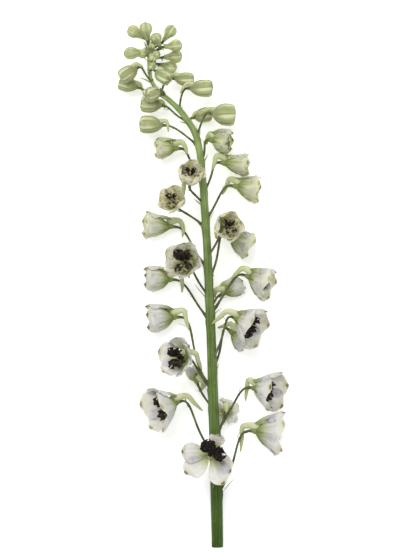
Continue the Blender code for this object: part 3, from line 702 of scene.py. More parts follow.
def sepal_material(looks):
    """Translucent white petals, cream at the root, with green veins and a dark spot at the tip, and a
    painted lilac-grey shade over the open bloom that faces straight up into the light.
    """
    skin = Surface("sepal_skin", Subsurface_Weight=0.7, Subsurface_Scale=0.0022,
                   Subsurface_Radius=(1.0, 0.95, 0.75), Specular_IOR_Level=0.3)
    along, across, marked_seed, age = skin.growth()
    seed = skin.math("FRACT", marked_seed)
    marked = skin.math("GREATER_THAN", marked_seed, SPECKLED)
    middle = abs(across)
    veins = skin.lines(along, across, seed, 9.0)
    cloud = skin.blotches(120.0, 0.35, 0.68)
    specks = skin.blotches(640.0, 0.55, 0.62)
    grain = skin.blotches(900.0, 0.3, 0.7)
    spot, halo = skin.tip(along, across, seed, 0.085)
    # Painted shade that dims the open bloom, which faces straight up into the light. It also eases the green
    # at that bloom's sepal roots.
    painted_lilac_shade = age.step(0.0, OPEN_SHADE_AGE) * 0.75
    foot = along.step(age * 0.20 + 0.62, 0.05) * 0.95
    vein = veins * (along.step(age * 0.35 + 0.60, 0.05) * 0.72 + (age * 0.20 + 0.10))
    cream = marked * (age.step(0.25, 0.55) * 0.7)
    root = along.step(0.52, 0.04) * (painted_lilac_shade * -0.6 + 0.95)
    rib = middle.step(age * 0.10 + 0.20, 0.01) * along.step(age * 0.25 + 0.90, 0.20) * (age * 0.50 + 0.50)
    dry_edge = middle.step(0.80, 1.0) * seed.step(0.45, 0.9) * (cloud * 0.5)
    speckled = marked * specks * (middle.step(0.8, 0.3) * 0.6)
    colour = skin.paint(
        looks.white,
        (cloud.most(painted_lilac_shade), looks.shade),
        (age, skin.mix(cloud, looks.young, looks.young_shade)),
        (foot, looks.foot),
        (vein, looks.vein),
        (cream, looks.cream),
        (root.most(rib), looks.base_green),
        (dry_edge, looks.tan),
        (speckled, looks.speck),
        (halo * 0.5, looks.tip_green),
        (spot * (seed * 0.45 + 0.50), looks.tip_brown),
    )
    return skin.finish(colour, grain * 0.12 + 0.45, (veins * 0.8 + grain * 0.25, 0.5, 0.00025))


def spur_material(looks):
    """Cream-green spurs, greener and duller towards the end, with faint lengthwise lines."""
    skin = Surface("spur_skin", Subsurface_Weight=0.4, Subsurface_Scale=0.0015,
                   Subsurface_Radius=(1.0, 0.95, 0.6), Specular_IOR_Level=0.3)
    along, around, seed, age = skin.growth()
    streaks = skin.lines(along * 0.3, around, seed, 7.0)
    cloud = skin.blotches(220.0, 0.35, 0.65)
    colour = skin.paint(
        looks.spur_pale,
        (cloud * 0.4, looks.spur_green),
        (along.step(0.30, 1.0), looks.spur_green),
        (age * 0.5, looks.spur_young),
        (streaks * 0.40, looks.base_green),
        (along.step(0.93, 1.0) * 0.5, looks.tip_brown),
    )
    return skin.finish(colour, cloud * 0.1 + 0.45, (streaks, 0.4, 0.0002))


def receptacle_material(looks):
    """The green cup that the sepals stand on."""
    skin = Surface("receptacle_skin", Roughness=0.5)
    cloud = skin.blotches(500.0, 0.35, 0.65)
    return skin.finish(skin.mix(cloud, looks.base_green, looks.foot_dark), bump=(cloud, 0.3, 0.0002))


def bud_material(looks):
    """Folded sepals of a closed bud: green, pale along their edges, with a darker midrib and a painted
    shadow line beside each edge that laps over the next sepal.
    """
    skin = Surface("bud_skin", Subsurface_Weight=0.3, Subsurface_Scale=0.0012, Specular_IOR_Level=0.3)
    along, across, seed, age = skin.growth()
    cloud = skin.blotches(260.0, 0.35, 0.65)
    veins = skin.lines(along, across, seed, 7.0)
    spot = skin.tip(along, across, seed, 0.06)[0]
    pale_edge = across.step(0.20, 0.75) * along.step(0.20, 0.6)
    rib = abs(across).step(0.34, 0.04) * along.step(0.98, 0.40)
    neck = along.step(0.34, 0.08) * 0.7
    # A painted shadow line along each sepal's under edge, beside the neighbour's edge that laps over it.
    lap_shadow = across.step(-0.40, -0.62)
    colour = skin.paint(
        looks.green,
        (age, looks.tip_green),
        (cloud * 0.6, looks.olive),
        (veins * 0.38, looks.olive),
        (pale_edge * (age * -0.30 + 0.75), looks.pale),
        (rib.most(neck).most(lap_shadow) * (age * -0.14 + 0.62), looks.olive),
        (spot * 0.35, looks.tip_brown),
    )
    return skin.finish(colour, cloud * 0.12 + 0.45, (veins + cloud * 0.4, 0.5, 0.0003))


def eye_material(looks):
    """Velvety black petals, browner where they are thin. Those of young blooms are partly olive."""
    skin = Surface("eye_skin", Specular_IOR_Level=0.2)
    along, across, seed, age = skin.growth()
    middle = abs(across)
    cloud = skin.blotches(420.0, 0.45, 0.60)
    holes = skin.blotches(300.0, 0.57, 0.64)
    veins = skin.lines(along, across, seed, 6.0)
    olive = skin.mix(veins * 0.4, looks.olive, looks.tan)
    lighter = skin.mix(age.step(0.25, 0.42), looks.tan, olive)
    opened = middle.step(0.55, 0.90).most(holes) * (age.step(0.12, 0.30) * 0.85)
    clear = (cloud * -0.8 + 1.0) * middle.step(0.22, 0.55)
    colour = skin.paint(
        looks.black,
        (cloud * 0.35, looks.brown),
        (along.step(0.22, 0.02) * 0.6, looks.olive),
        (middle.step(0.85, 1.0) * 0.3, looks.brown),
        (opened, lighter),
        (age.step(0.52, 0.66) * clear, olive),
    )
    return skin.finish(colour, cloud * 0.2 + 0.6, (veins + cloud, 0.6, 0.0003))


def hair_material(looks):
    """Beard hairs and the stamens' filaments, paler towards their tips."""
    skin = Surface("beard_hair", Roughness=0.5)
    return skin.finish(skin.mix(skin.growth()[0], looks.hair_root, looks.hair_tip))


def anther_material(looks):
    """Olive anthers with brown marks."""
    skin = Surface("anther", Roughness=0.6)
    return skin.finish(skin.mix(skin.blotches(1500.0, 0.4, 0.6), looks.anther, looks.brown))


def stem_material(looks):
    """Green with paler ridges, darker low down, with brown marks near the cut."""
    skin = Surface("stem_skin", Specular_IOR_Level=0.1)
    along, around, seed, age = skin.growth()
    stripes = skin.noise(skin.vector(around * 2.2, along * 3.0, seed), 5.0, 4.0)
    stripe = stripes.step(0.38, 0.64) * 0.66 + 0.17
    cloud = skin.blotches(90.0, 0.35, 0.65)
    fleck = skin.blotches(700.0, 0.55, 0.75)
    scar = along.step(0.036, 0.026) * around.step(-0.15, -0.40) * stripes.step(0.35, 0.50)
    colour = skin.paint(
        looks.dark,
        (stripe, looks.green),
        (age, skin.mix(stripe, looks.green, looks.pale)),
        (cloud * 0.3, looks.dark),
        (fleck * 0.11, looks.pale),
        (scar, looks.brown),
    )
    return skin.finish(colour, fleck * 0.15 + 0.42, (stripes * 1.5 + fleck * 0.3, 0.5, 0.0004))


def stalk_material(looks):
    """The thin stalks: olive with darker clouds, and greener at both ends."""
    skin = Surface("stalk_skin", Specular_IOR_Level=0.2)
    along, around, seed, _ = skin.growth()
    cloud = skin.blotches(300.0, 0.38, 0.62)
    grain = skin.noise(skin.vector(around, along, seed), 6.0)
    ends = along.step(0.14, 0.0).most(along.step(0.86, 1.0))
    colour = skin.paint(looks.stalk, (cloud, looks.stalk_dark), (ends * 0.8, looks.green))
    return skin.finish(colour, cloud * 0.1 + 0.45, (grain, 0.4, 0.0002))


def bract_material(looks):
    """Thin bracts, green at the root and dry and brown towards the tip. Young ones are fresher."""
    skin = Surface("bract_skin", Roughness=0.55)
    along, _, _, age = skin.growth()
    cloud = skin.blotches(400.0, 0.4, 0.6)
    dry = along.step(0.15, 0.8).most(cloud * 0.5) * (age * -0.7 + 1.0)
    colour = skin.paint(looks.stalk, (age, looks.young_bract), (dry, looks.bract))
    return skin.finish(colour, bump=(cloud, 0.3, 0.0002))


def pith_material(looks):
    """The cut face: cream pith in a green rim, browned a little by the air."""
    skin = Surface("cut_face", Roughness=0.7)
    rim = skin.growth()[0].step(0.80, 0.95)
    browned = skin.blotches(900.0, 0.4, 0.65) * 0.5
    return skin.finish(skin.paint(looks.pith, (browned, looks.brown), (rim, looks.green)))


def paper_material(looks):
    """The pale floor, which glows a little, so that it looks even."""
    skin = Surface("floor_paper", Roughness=0.9, Specular_IOR_Level=0.1, Emission_Color=(1.0, 1.0, 1.0),
                   Emission_Strength=FLOOR_GLOW)
    shaded = [FLOOR_SHADE * part for part in looks.floor]
    return skin.finish(skin.mix(skin.blotches(6.0, 0.2, 0.8), looks.floor, shaded))


# Sizes and colours that a user can change

def metres(name, text, default):
    return FloatProperty(name=name, description=text, default=default, min=0.0, precision=5,
                         subtype="DISTANCE", unit="LENGTH")


def tint(name, text, default):
    return FloatVectorProperty(name=name, description=text, default=default, size=3, min=0.0, max=1.0,
                               subtype="COLOR")


class DelphiniumStemLooks(bpy.types.PropertyGroup):
    ridges: IntProperty(name="Ridges", description="Lengthwise ridges round the stem", default=9, min=0)
    ridge_height: metres("Ridge height", "How far a ridge stands out", 0.00013)
    stalk_radius: metres("Stalk radius", "Radius of a bloom's little stalk", 0.00078)
    bract_length: metres("Bract length", "Length of the bract below a bloom's stalk", 0.0115)
    green: tint("Green", "Middle green of the stem", (0.093, 0.162, 0.031))
    pale: tint("Pale green", "Ridges high on the stem", (0.475, 0.585, 0.235))
    dark: tint("Dark green", "Furrows low on the stem", (0.021, 0.054, 0.003))
    brown: tint("Brown", "Marks near the cut", (0.080, 0.052, 0.022))
    pith: tint("Pith", "The cut face", (0.825, 0.87, 0.57))
    stalk: tint("Stalk", "Olive of the little stalks", (0.112, 0.15, 0.045))
    stalk_dark: tint("Dark stalk", "Dark side of the little stalks", (0.063, 0.075, 0.033))
    bract: tint("Bract", "Dry end of a bract", (0.255, 0.21, 0.18))
    young_bract: tint("Young bract", "Bracts near the tip", (0.36, 0.43, 0.18))


class DelphiniumSepalLooks(bpy.types.PropertyGroup):
    thickness: metres("Thickness", "Thickness of a sepal at its middle", 0.00042)
    ruffle: metres("Ruffle", "How far the edges of a sepal wave", 0.00075)
    rib: metres("Rib", "Depth of the furrow over a sepal's midrib", 0.00045)
    pleat: metres("Pleat", "Height of the lengthwise folds of a sepal", 0.00016)
    tip_hook: metres("Tip hook", "How far a sepal's tip bends inwards", 0.00130)
    white: tint("White", "Open sepals", (0.69, 0.675, 0.645))
    # Besides its random clouds, shade is also the painted shade over the open bloom that faces straight up
    # into the light.
    shade: tint("Shade", "Lilac-grey clouds on open sepals", (0.545, 0.53, 0.53))
    young: tint("Young", "Sepals of the upper blooms", (0.625, 0.64, 0.40))
    young_shade: tint("Young shade", "Clouds on the upper sepals", (0.495, 0.517, 0.3))
    vein: tint("Vein", "Veins of a sepal", (0.25, 0.30, 0.11))
    foot: tint("Foot", "Lower half of a sepal", (0.475, 0.505, 0.24))
    base_green: tint("Base green", "Root and midrib of a sepal", (0.19, 0.245, 0.055))
    foot_dark: tint("Dark foot", "Receptacle's darker patches", (0.18, 0.255, 0.06))
    tip_green: tint("Tip green", "Round the tip spot", (0.45, 0.465, 0.255))
    tip_brown: tint("Tip brown", "Spot at a sepal's tip", (0.060, 0.038, 0.022))
    cream: tint("Cream", "Inside of the upper blooms that look up", (0.82, 0.755, 0.53))
    speck: tint("Speck", "Specks inside the upper blooms", (0.16, 0.095, 0.04))
    tan: tint("Tan", "Dry edges of the older sepals", (0.57, 0.42, 0.255))
    spur_pale: tint("Pale spur", "Front of a spur", (0.72, 0.735, 0.48))
    spur_green: tint("Green spur", "End of a spur", (0.49, 0.515, 0.25))
    spur_young: tint("Young spur", "Spurs of the upper blooms", (0.45, 0.495, 0.232))


class DelphiniumEyeLooks(bpy.types.PropertyGroup):
    thickness: metres("Thickness", "Thickness of an eye petal", 0.00040)
    ruffle: metres("Ruffle", "How far the edges of an eye petal wave", 0.00112)
    hair_length: metres("Hair length", "Length of the longest beard hairs", 0.0018)
    hair_radius: metres("Hair radius", "Radius of a beard hair at its root", 0.00007)
    hairs: IntProperty(name="Hairs", description="Beard hairs on one lower petal", default=36, min=0)
    stamens: IntProperty(name="Stamens", description="Stamens in one bloom", default=12, min=0)
    black: tint("Black", "Darkest part of the eye", (0.006, 0.005, 0.005))
    brown: tint("Brown", "Worn and thin parts of the eye", (0.035, 0.020, 0.010))
    tan: tint("Tan", "Patches in the eyes of the upper blooms", (0.085, 0.052, 0.024))
    olive: tint("Olive", "Eye petals of the upper blooms", (0.54, 0.51, 0.27))
    hair_root: tint("Hair root", "Beard hairs at their root", (0.15, 0.105, 0.045))
    hair_tip: tint("Hair tip", "Beard hairs at their tip", (0.6, 0.495, 0.255))
    anther: tint("Anther", "Anthers of the stamens", (0.27, 0.255, 0.135))


class DelphiniumBudLooks(bpy.types.PropertyGroup):
    thickness: metres("Thickness", "Thickness of a folded sepal", 0.00050)
    lap: metres("Lap", "How far one folded edge stands over the next", 0.00055)
    keel: metres("Keel", "How far a folded sepal's midrib stands out", 0.00062)
    green: tint("Green", "Bud sepals", (0.435, 0.458, 0.232))
    tip_green: tint("Tip green", "The small buds at the tip", (0.52, 0.57, 0.285))
    # Olive also paints the shadow line beside each lapped edge of a bud.
    olive: tint("Olive", "Midribs and clouds", (0.255, 0.285, 0.112))
    pale: tint("Pale", "Edges of the folded sepals", (0.72, 0.74, 0.47))
    tip_brown: tint("Tip brown", "Spot at a bud's tip", (0.080, 0.060, 0.025))


class DelphiniumStageLooks(bpy.types.PropertyGroup):
    field: metres("Field", "Height of what the camera sees", 0.380)
    lens: FloatProperty(name="Lens", description="Focal length in millimetres", default=200.0, min=20.0)
    floor: tint("Floor", "The pale floor", (0.94, 0.94, 0.94))
    key: FloatProperty(name="Key light", description="Power in watts", default=20.5, min=0.0)
    fill: FloatProperty(name="Fill light", description="Power in watts", default=5.3, min=0.0)
    sky: FloatProperty(name="Sky", description="Strength of the even light all round", default=0.50, min=0.0)


# Stem, stalks and bracts

def back_of(one):
    """Where a bloom or bud starts on its facing line. The buds at the tip have no receptacle."""
    return RECEPTACLE_BACK if one.spur else 0


def pedicel_line(one):
    """The little stalk from the stem to a bloom's back, which arrives along the facing line."""
    start, along_stem, _ = stem_point(one.leaves_y)
    front = unit(one.facing)
    tip = one.seat + front * (back_of(one) - SEAT_GAP)
    end = tip - front * PEDICEL_END
    away = end - start
    out = unit(away - along_stem * (away @ along_stem))
    reach = np.linalg.norm(away)
    leave = start + unit(along_stem * 0.72 + out * 0.7) * reach * 0.5
    arrive = end - front * reach * 0.24
    t = np.linspace(0, 1, PEDICEL_ROWS)[:, None]
    curve = start * (1 - t) ** 3 + leave * 3 * t * (1 - t) ** 2 + arrive * 3 * t * t * (1 - t) + end * t ** 3
    return np.vstack([curve, tip, tip + front * PEDICEL_INSIDE])


def add_stem(piece, looks, stalked):
    """The ridged stem, swollen where the stalks leave it. Returns its cut end's middle and radii."""
    line, radius = np.split(through(STEM_LINE, STEM_ROWS), [3], axis=1)
    side, up = tube_frames(line)
    phi = angles(STEM_SIDES)
    ridge = looks.ridge_height / MM * np.cos(looks.ridges * phi + 0.6 * np.sin(phi))
    rings = radius + ridge * (radius / radius[0])
    for one in stalked:
        away = one.seat - stem_point(one.leaves_y)[0]
        row = np.argmin(abs(line[:, 1] - one.leaves_y))
        off = (phi - math.atan2(away @ up[row], away @ side[row]) + np.pi) % (2 * np.pi) - np.pi
        near = np.exp(-((line[:, 1:2] - one.leaves_y + 0.5) / SWELL_LENGTH) ** 2)
        rings += SWELL * radius * near * np.exp(-(off / SWELL_ANGLE) ** 2)
    rings[-1] *= 0.5
    ages = np.interp(line[:, 1], *zip(*STEM_AGES))
    ages = np.append(np.repeat(ages, STEM_SIDES), ages[[0, -1]])
    piece.add_tube(line, rings, STEM_SIDES, STEM_SEED, ages)
    return line[0], rings[0]


def add_cut_face(piece, centre, radii):
    """The cut end: a pale, slightly hollow face inside the skin's edge."""
    side, up = tube_frames(np.array(STEM_LINE[:2])[:, :3])
    spokes = ring_directions(side[0], up[0], STEM_SIDES) * radii[:, None]
    rings = [centre + spokes * share - (0, out, 0) for share, out in CUT_RINGS]
    points = above_floor(np.vstack([*rings, centre - (0, CUT_MIDDLE, 0)]))
    places = np.repeat([(share, 0, NO_SEED) for share, _ in CUT_RINGS], STEM_SIDES, axis=0)
    index = np.arange(len(places)).reshape(-1, STEM_SIDES)
    faces = (ring_faces(index), fan(index[-1], index.size))
    piece.add(points, faces, np.vstack([places, (0, 0, NO_SEED)]), 0.0, CUT_SKIN)


def add_stalks(piece, looks, stalked):
    """A stalk to each bloom and bud, thicker where it leaves the stem and where it ends."""
    for number, one in enumerate(stalked):
        line = pedicel_line(one)
        share = np.linspace(0, 1, len(line))
        radii = 1 + 1.3 * np.exp(-(share / 0.09) ** 2) + 0.55 * smooth_step(share, 0.80, 1.0)
        radii += 0.05 * np.sin(share * 19 + number)
        radii *= looks.stalk_radius / MM * (BUD_STALK if isinstance(one, Bud) else 1)
        piece.add_tube(line, radii, STALK_SIDES, seed_of(number), youth(one.seat[1]), STALK_SKIN)


def add_bract(piece, start, lean, curl, length, width, seed, age):
    """A narrow leaf that curls as it leaves the stem or a stalk."""
    along, across = grid(*BRACT_GRID)
    side = unit(np.cross(lean, curl))
    half = width / 2 * (1 - along ** 2.2 * 0.86) * (0.75 + 0.5 * np.sin(np.pi * along))
    twist = along * 1.4 * (seed - 0.5)
    sway = np.sin(along * 4 + seed * 9) * along * length * 0.10
    reaches = (
        (lean, along * length),
        (curl, along ** 2.2 * length * 0.45 + 0.18 * half * across ** 2),
        (side, sway + half * across * np.cos(twist)),
        (np.cross(side, lean), half * across * np.sin(twist)),
    )
    points = start + sum(way * reach[..., None] for way, reach in reaches)
    thickness = BRACT_THICKNESS * (1 - 0.5 * along)
    piece.add_sheet(rest_on_floor(points), thickness, along, across, seed, age, BRACT_SKIN)


def add_bracts(piece, looks, stalked):
    """The bract below each stalk, and two bracteoles, small ones, on the stalk itself."""
    for number, one in enumerate(stalked):
        seed, age = seed_of(number + 0.5), youth(one.seat[1])
        start, along_stem, radius = stem_point(one.leaves_y - BRACT_BELOW)
        away = one.seat - start
        out = unit(away - along_stem * (away @ along_stem))
        side = np.cross(out, along_stem) * (0.35 + 0.25 * wobble(number))
        root = start + unit(out + side * 0.8) * radius * 0.75
        lean = unit(along_stem * 0.9 + out * 0.5 + side)
        curl = (side + out * 0.9) * wobble(number * 2.3)
        length = looks.bract_length / MM * (1 - 0.45 * age) * (1 + 0.3 * wobble(number * 1.7))
        width = 0.8 + 0.8 * age
        add_bract(piece, root, lean, curl, length, width, seed, age)
        line = pedicel_line(one)
        for small, way in enumerate((-1, 1)):
            row = int(PEDICEL_ROWS * (0.66 + 0.16 * small))
            tangent = unit(line[row + 1] - line[row - 1])
            across = unit(np.cross(tangent, (0.2, 0.1, 1.0))) * way
            lean = unit(tangent * 0.8 + across * 0.6)
            curl = across * wobble(number + small)
            add_bract(piece, line[row] + across * 0.4, lean, curl, length * 0.48, width, seed, age)


def add_tip_bracts(piece, looks):
    """The young bracts that crowd round the growing tip."""
    for number, (start, lean, width) in enumerate(TIP_BRACTS):
        length = looks.bract_length / MM * (0.62 + 0.14 * wobble(number))
        curl = np.array((0.1 * wobble(number), 0.2, 0.5))
        add_bract(piece, start, unit(lean), curl, length, width, number / len(TIP_BRACTS), 1.0)


# Blooms

def sepal_blades(bloom, index):
    """The five sepals of a bloom. Length, turn and bend vary a little from sepal to sepal."""
    if bloom.name == OPEN_BLOOM:
        turns, shares, half_width = OPEN_TURNS, OPEN_SHARES, OPEN_HALF_WIDTH
    else:
        turns, shares, half_width = SEPAL_TURNS, SEPAL_SHARES, SEPAL_HALF_WIDTH
    blades = []
    for number, (turn, share) in enumerate(zip(turns, shares)):
        seed = index * 5 + number
        length = bloom.length * share * (1 + 0.05 * wobble(seed + 0.3))
        blades.append(Blade(
            turn=turn + 5 * wobble(seed), length=length, flare=bloom.flare + 4 * wobble(seed + 0.6),
            curl=bloom.curl + 8 * wobble(seed + 0.9), half_width=length * half_width, room=SEPAL_ROOM,
            root=SEPAL_ROOT, lap=SEPAL_LAP, foot=SEPAL_FOOT,
        ))
    return [grown_from_spur(blades[0]), *blades[1:]]


def grown_from_spur(blade):
    """The same sepal with its root on the spur's back and its tip where it was."""
    start, end = math.radians(blade.flare), math.radians(blade.curl)
    bend = end - start
    out = blade.root[0] + blade.length * (math.cos(start) - math.cos(end)) / bend - TOP_SEPAL_ROOT[0]
    forward = blade.root[1] + blade.length * (math.sin(end) - math.sin(start)) / bend - TOP_SEPAL_ROOT[1]
    start = 2 * math.atan2(out, forward) - end
    half_bend = (end - start) / 2
    length = math.hypot(out, forward) * half_bend / math.sin(half_bend)
    return blade._replace(flare=math.degrees(start), length=length, root=TOP_SEPAL_ROOT, foot=TOP_SEPAL_FOOT)


def ruffled(along, across, seed, waves):
    """Waves along both edges of a petal, which fade towards its middle, its root and its tip."""
    edge = np.abs(across) ** 2.5 * smooth_step(along, 0.25, 0.7) * tip_round(along)
    phase = seed * 23 + 1.9 * (across > 0)
    turned = waves * along * 2 * np.pi
    return edge * (np.sin(turned + phase) + 0.5 * np.sin(2.3 * turned - phase))


def add_sepal(piece, looks, blade, seed, placer, age):
    """One thin sepal with a furrow over its midrib, pleats, ruffled edges and a hooked tip."""
    along, across = grid(*SEPAL_GRID)
    points = blade_surface(along, across, blade)
    rib = -looks.rib / MM * np.exp(-(across / 0.13) ** 2) * (1 - 0.7 * along)
    ripple = 0.22 * np.sin(along * 8 + seed * 31) * np.sin(across * 3.1 + seed * 17)
    pleats = looks.pleat / MM * np.cos(across * 14 + seed * 9) * smooth_step(along, 0.05, 0.35)
    pleats *= 1 - 0.6 * smooth_step(along, 0.5, 0.95)
    edges = looks.ruffle / MM * ruffled(along, across, seed, 2.2)
    hooked = -looks.tip_hook / MM * smooth_step(along, 0.78, 1.0) * (0.6 + 0.8 * (seed % 1))
    lift = (rib + ripple + pleats) * tip_round(along) + edges + hooked
    points += grid_normals(points) * lift[..., None]
    thickness = looks.thickness / MM
    thickness *= 1 - 0.6 * np.abs(across) ** 4 - 0.35 * smooth_step(along, 0.85, 1.0)
    piece.add_sheet(rest_on_floor(placer(points)), thickness, along, across, seed, age)


def spur_line(one, knee, scale):
    """The spur's centre line in the bloom's frame, from inside the throat to its end."""
    steps = SPUR_STEPS - 1
    point, points = np.array(SPUR_ROOT) * scale, []
    for step in range(SPUR_STEPS):
        swung = math.sin(math.pi / 2 * min(1, step / steps / SPUR_SWAY_END))
        points.append((one.sway * swung, point[1], point[2]))
        bent = min(max(((step + 0.5) / steps - knee) / SPUR_BEND + 0.5, 0), 1)
        turned = math.radians(SPUR_RISE + (one.hook - SPUR_RISE) * bent)
        point = point + np.array((0, -math.sin(turned), -math.cos(turned))) * one.spur / steps
    points.insert(0, (points[0][0], points[0][1] - 0.4 * scale, points[0][2] + 2.0 * scale))
    return through(points, SPUR_ROWS)


def add_spur(piece, one, knee, scale, seed, placer, age):
    """The hollow spur, which tapers and bends down at its knee, with a few lengthwise wrinkles."""
    share = np.linspace(0, 1, SPUR_ROWS)[:, None]
    wrinkle = 1 + 0.05 * np.cos(5 * angles(SPUR_SIDES) + seed * 6) + 0.03 * np.sin(share * 25 + seed * 9)
    radii = girth(SPUR_GIRTH, share) * scale * wrinkle
    piece.add_tube(placer(spur_line(one, knee, scale)), radii, SPUR_SIDES, seed, age, SPUR_SKIN)


def on_axis(heights):
    """Points on the facing line."""
    return np.outer(heights, (0, 0, 1))


def make_bloom(bloom, index, looks, materials):
    """One bloom's sepals, spur and receptacle, as one piece."""
    piece = Piece()
    placer = spike_placer(bloom, bloom.roll)
    # Painted shade: the open bloom faces straight up into the light, and its age below 0 paints its sepals
    # lilac-grey.
    age = OPEN_SHADE_AGE if bloom.name == OPEN_BLOOM else youth(bloom.seat[1])
    speckled = age > 0 and bloom.facing[2] > LOOKS_UP
    for number, blade in enumerate(sepal_blades(bloom, index)):
        seed = wobble(index * 5 + number + 0.2) / 2.001 + 0.5  # never quite 1, where SPECKLED begins
        add_sepal(piece, looks, blade, seed + SPECKLED * speckled, placer, age)
    add_spur(piece, bloom, bloom.knee, 1.0, seed_of(index + 0.7), placer, age)
    heights, radii = zip(*RECEPTACLE_RINGS)
    piece.add_tube(placer(on_axis(heights)), radii, RECEPTACLE_SIDES, NO_SEED, age, RECEPTACLE_SKIN)
    piece.build(bloom.name + "_petals", materials, "sepals", bloom.name + "_sepals")


# Eyes

def add_hairs(piece, roots, directions, lengths, radius, seed, age):
    """Thin three-sided hairs, each bent a little, as one block of faces."""
    directions = unit(directions)
    lengths = lengths[:, None]
    side = unit(np.cross(directions, (0.31, 0.22, 0.92)))
    around = ring_directions(side, np.cross(directions, side), 3) * radius
    middle = (roots + directions * lengths * 0.55)[:, None]
    tip = (roots + directions * lengths + side * lengths * 0.28)[:, None]
    points = np.concatenate([roots[:, None] + around, middle + around * 0.7, tip], axis=1)
    places = np.zeros_like(points)
    places[..., 0] = (0, 0, 0, 0.5, 0.5, 0.5, 1)
    places[..., 2] = seed
    index = np.arange(6).reshape(2, 3)
    walls = ring_faces(index)[:, [0, 3, 2, 1]]
    ends = np.vstack([fan(index[1], 6), (2, 1, 0)])
    first = np.arange(len(roots))[:, None, None] * 7
    faces = [(first + block).reshape(-1, block.shape[1]) for block in (walls, ends)]
    piece.add(above_floor(points, HAIR_FLOOR_GAP), faces, places, age, HAIR_SKIN)


def eye_blade(bloom, number):
    """One small petal of the eye, which opens and bends as far as the bloom's sepals let it."""
    turn, length, flare, curl, half_width = EYE_PETALS[number]
    if bloom.name == OPEN_BLOOM:
        turn = OPEN_EYE_TURNS[number]
    open_share = max(0.0, min(1.0, (bloom.curl + 30) / 45))
    return Blade(
        turn=turn, length=length * bloom.eye, flare=flare * (0.55 + 0.45 * open_share),
        curl=curl * (0.2 + 0.8 * open_share), half_width=half_width * bloom.eye, room=EYE_ROOM,
        root=(1.2 * bloom.eye, EYE_BASE + 0.6 * EYE_STALK[2] * bloom.eye), lap=0, foot=SEPAL_FOOT,
    )


def add_eye_petal(piece, looks, bloom, number, seed, placer, age):
    """A notched, ruffled petal. Returns its points."""
    lower = number in LOWER_PETALS
    along, across = grid(*EYE_GRID)
    notch = 0.34 if lower else 0.22
    reach = along * (1 - notch * np.exp(-(across / 0.28) ** 2) * smooth_step(along, 0.5, 1.0))
    points = blade_surface(reach, across, eye_blade(bloom, number))
    bulge = 0.5 * bloom.eye * np.sin(along * 7 + seed * 20) * np.cos(across * 2.4 + seed * 11)
    edges = looks.ruffle / MM * ruffled(along, across, seed, 3.4)
    lift = (bulge + edges * 1.4) * smooth_step(along, 0.1, 0.45)
    points += grid_normals(points) * lift[..., None]
    points = rest_on_floor(placer(points))
    thickness = looks.thickness / MM * (1 - 0.5 * np.abs(across) ** 4)
    piece.add_sheet(points, thickness, along, across, seed, age * (1.2 if lower else 0.75))
    return points


def add_beard(piece, looks, size, points, seed, placer, age, draw):
    """Hairs scattered over the side of a lower petal that faces the bloom's middle."""
    rows = draw.integers(6, EYE_GRID[0] - 3, looks.hairs)
    columns = draw.integers(2, EYE_GRID[1] - 2, looks.hairs)
    roots = points[rows, columns]
    inner = grid_normals(points)[rows, columns]
    inner *= np.sign(np.sum(inner * (placer((0, 0, 30.0)) - roots), axis=1))[:, None]
    directions = inner + draw.normal(0, 0.45, inner.shape)
    lengths = looks.hair_length / MM * size * draw.uniform(0.5, 1.0, looks.hairs)
    add_hairs(piece, roots, directions, lengths, looks.hair_radius / MM, seed, age)


def add_stamens(piece, looks, size, placer, age, draw):
    """Stamens that bend down from the middle of the throat, with small anthers."""
    for _ in range(looks.stamens):
        turn = draw.uniform(-1.9, 1.9)
        far = draw.uniform(0.7, 1.5) * size
        length = draw.uniform(4.5, 6.5) * size
        side = math.sin(turn)
        foot = np.array((side * 0.7, -abs(math.cos(turn)) * 0.7, EYE_BASE - 0.4))
        reach = np.array((side * far, -far - 0.7, EYE_BASE + length * 0.75))
        end = reach + (side * 0.8, -1.2 * size, 0.4)
        line = through([foot, (foot + reach) / 2 + (0, 0.3, 0.4), reach, end], len(FILAMENT_RADII))
        piece.add_tube(placer(line), FILAMENT_RADII, FILAMENT_SIDES, NO_SEED, age, HAIR_SKIN)
        heights, radii = zip(*ANTHER_RINGS)
        piece.add_tube(placer(end + on_axis(heights)), radii, ANTHER_SIDES, NO_SEED, age, ANTHER_SKIN)


def make_eye(bloom, index, looks, materials):
    """One bloom's dark petals on their short stalk, with the beard and the stamens, as one piece."""
    piece = Piece()
    placer = spike_placer(bloom, bloom.roll)
    age = youth(bloom.seat[1])
    draw = np.random.default_rng(index + 11)
    for number in range(len(EYE_PETALS)):
        seed = seed_of(index * 4 + number + 0.4)
        points = add_eye_petal(piece, looks, bloom, number, seed, placer, age)
        if number in LOWER_PETALS:
            add_beard(piece, looks, bloom.eye, points, seed, placer, age, draw)
    foot, top, height = (size * bloom.eye for size in EYE_STALK)
    heights = EYE_BASE + height * np.array((-0.25, 0, 0.3, 0.65, 1.0))
    radii = (0.85 * foot, foot, 0.6 * foot + 0.4 * top, 0.9 * top, 0.55 * top)
    piece.add_tube(placer(on_axis(heights)), radii, EYE_STALK_SIDES, NO_SEED, age)
    add_stamens(piece, looks, bloom.eye, placer, age, draw)
    piece.build(bloom.name + "_bearded_eye", materials, "eye", bloom.name + "_eye")


# Buds

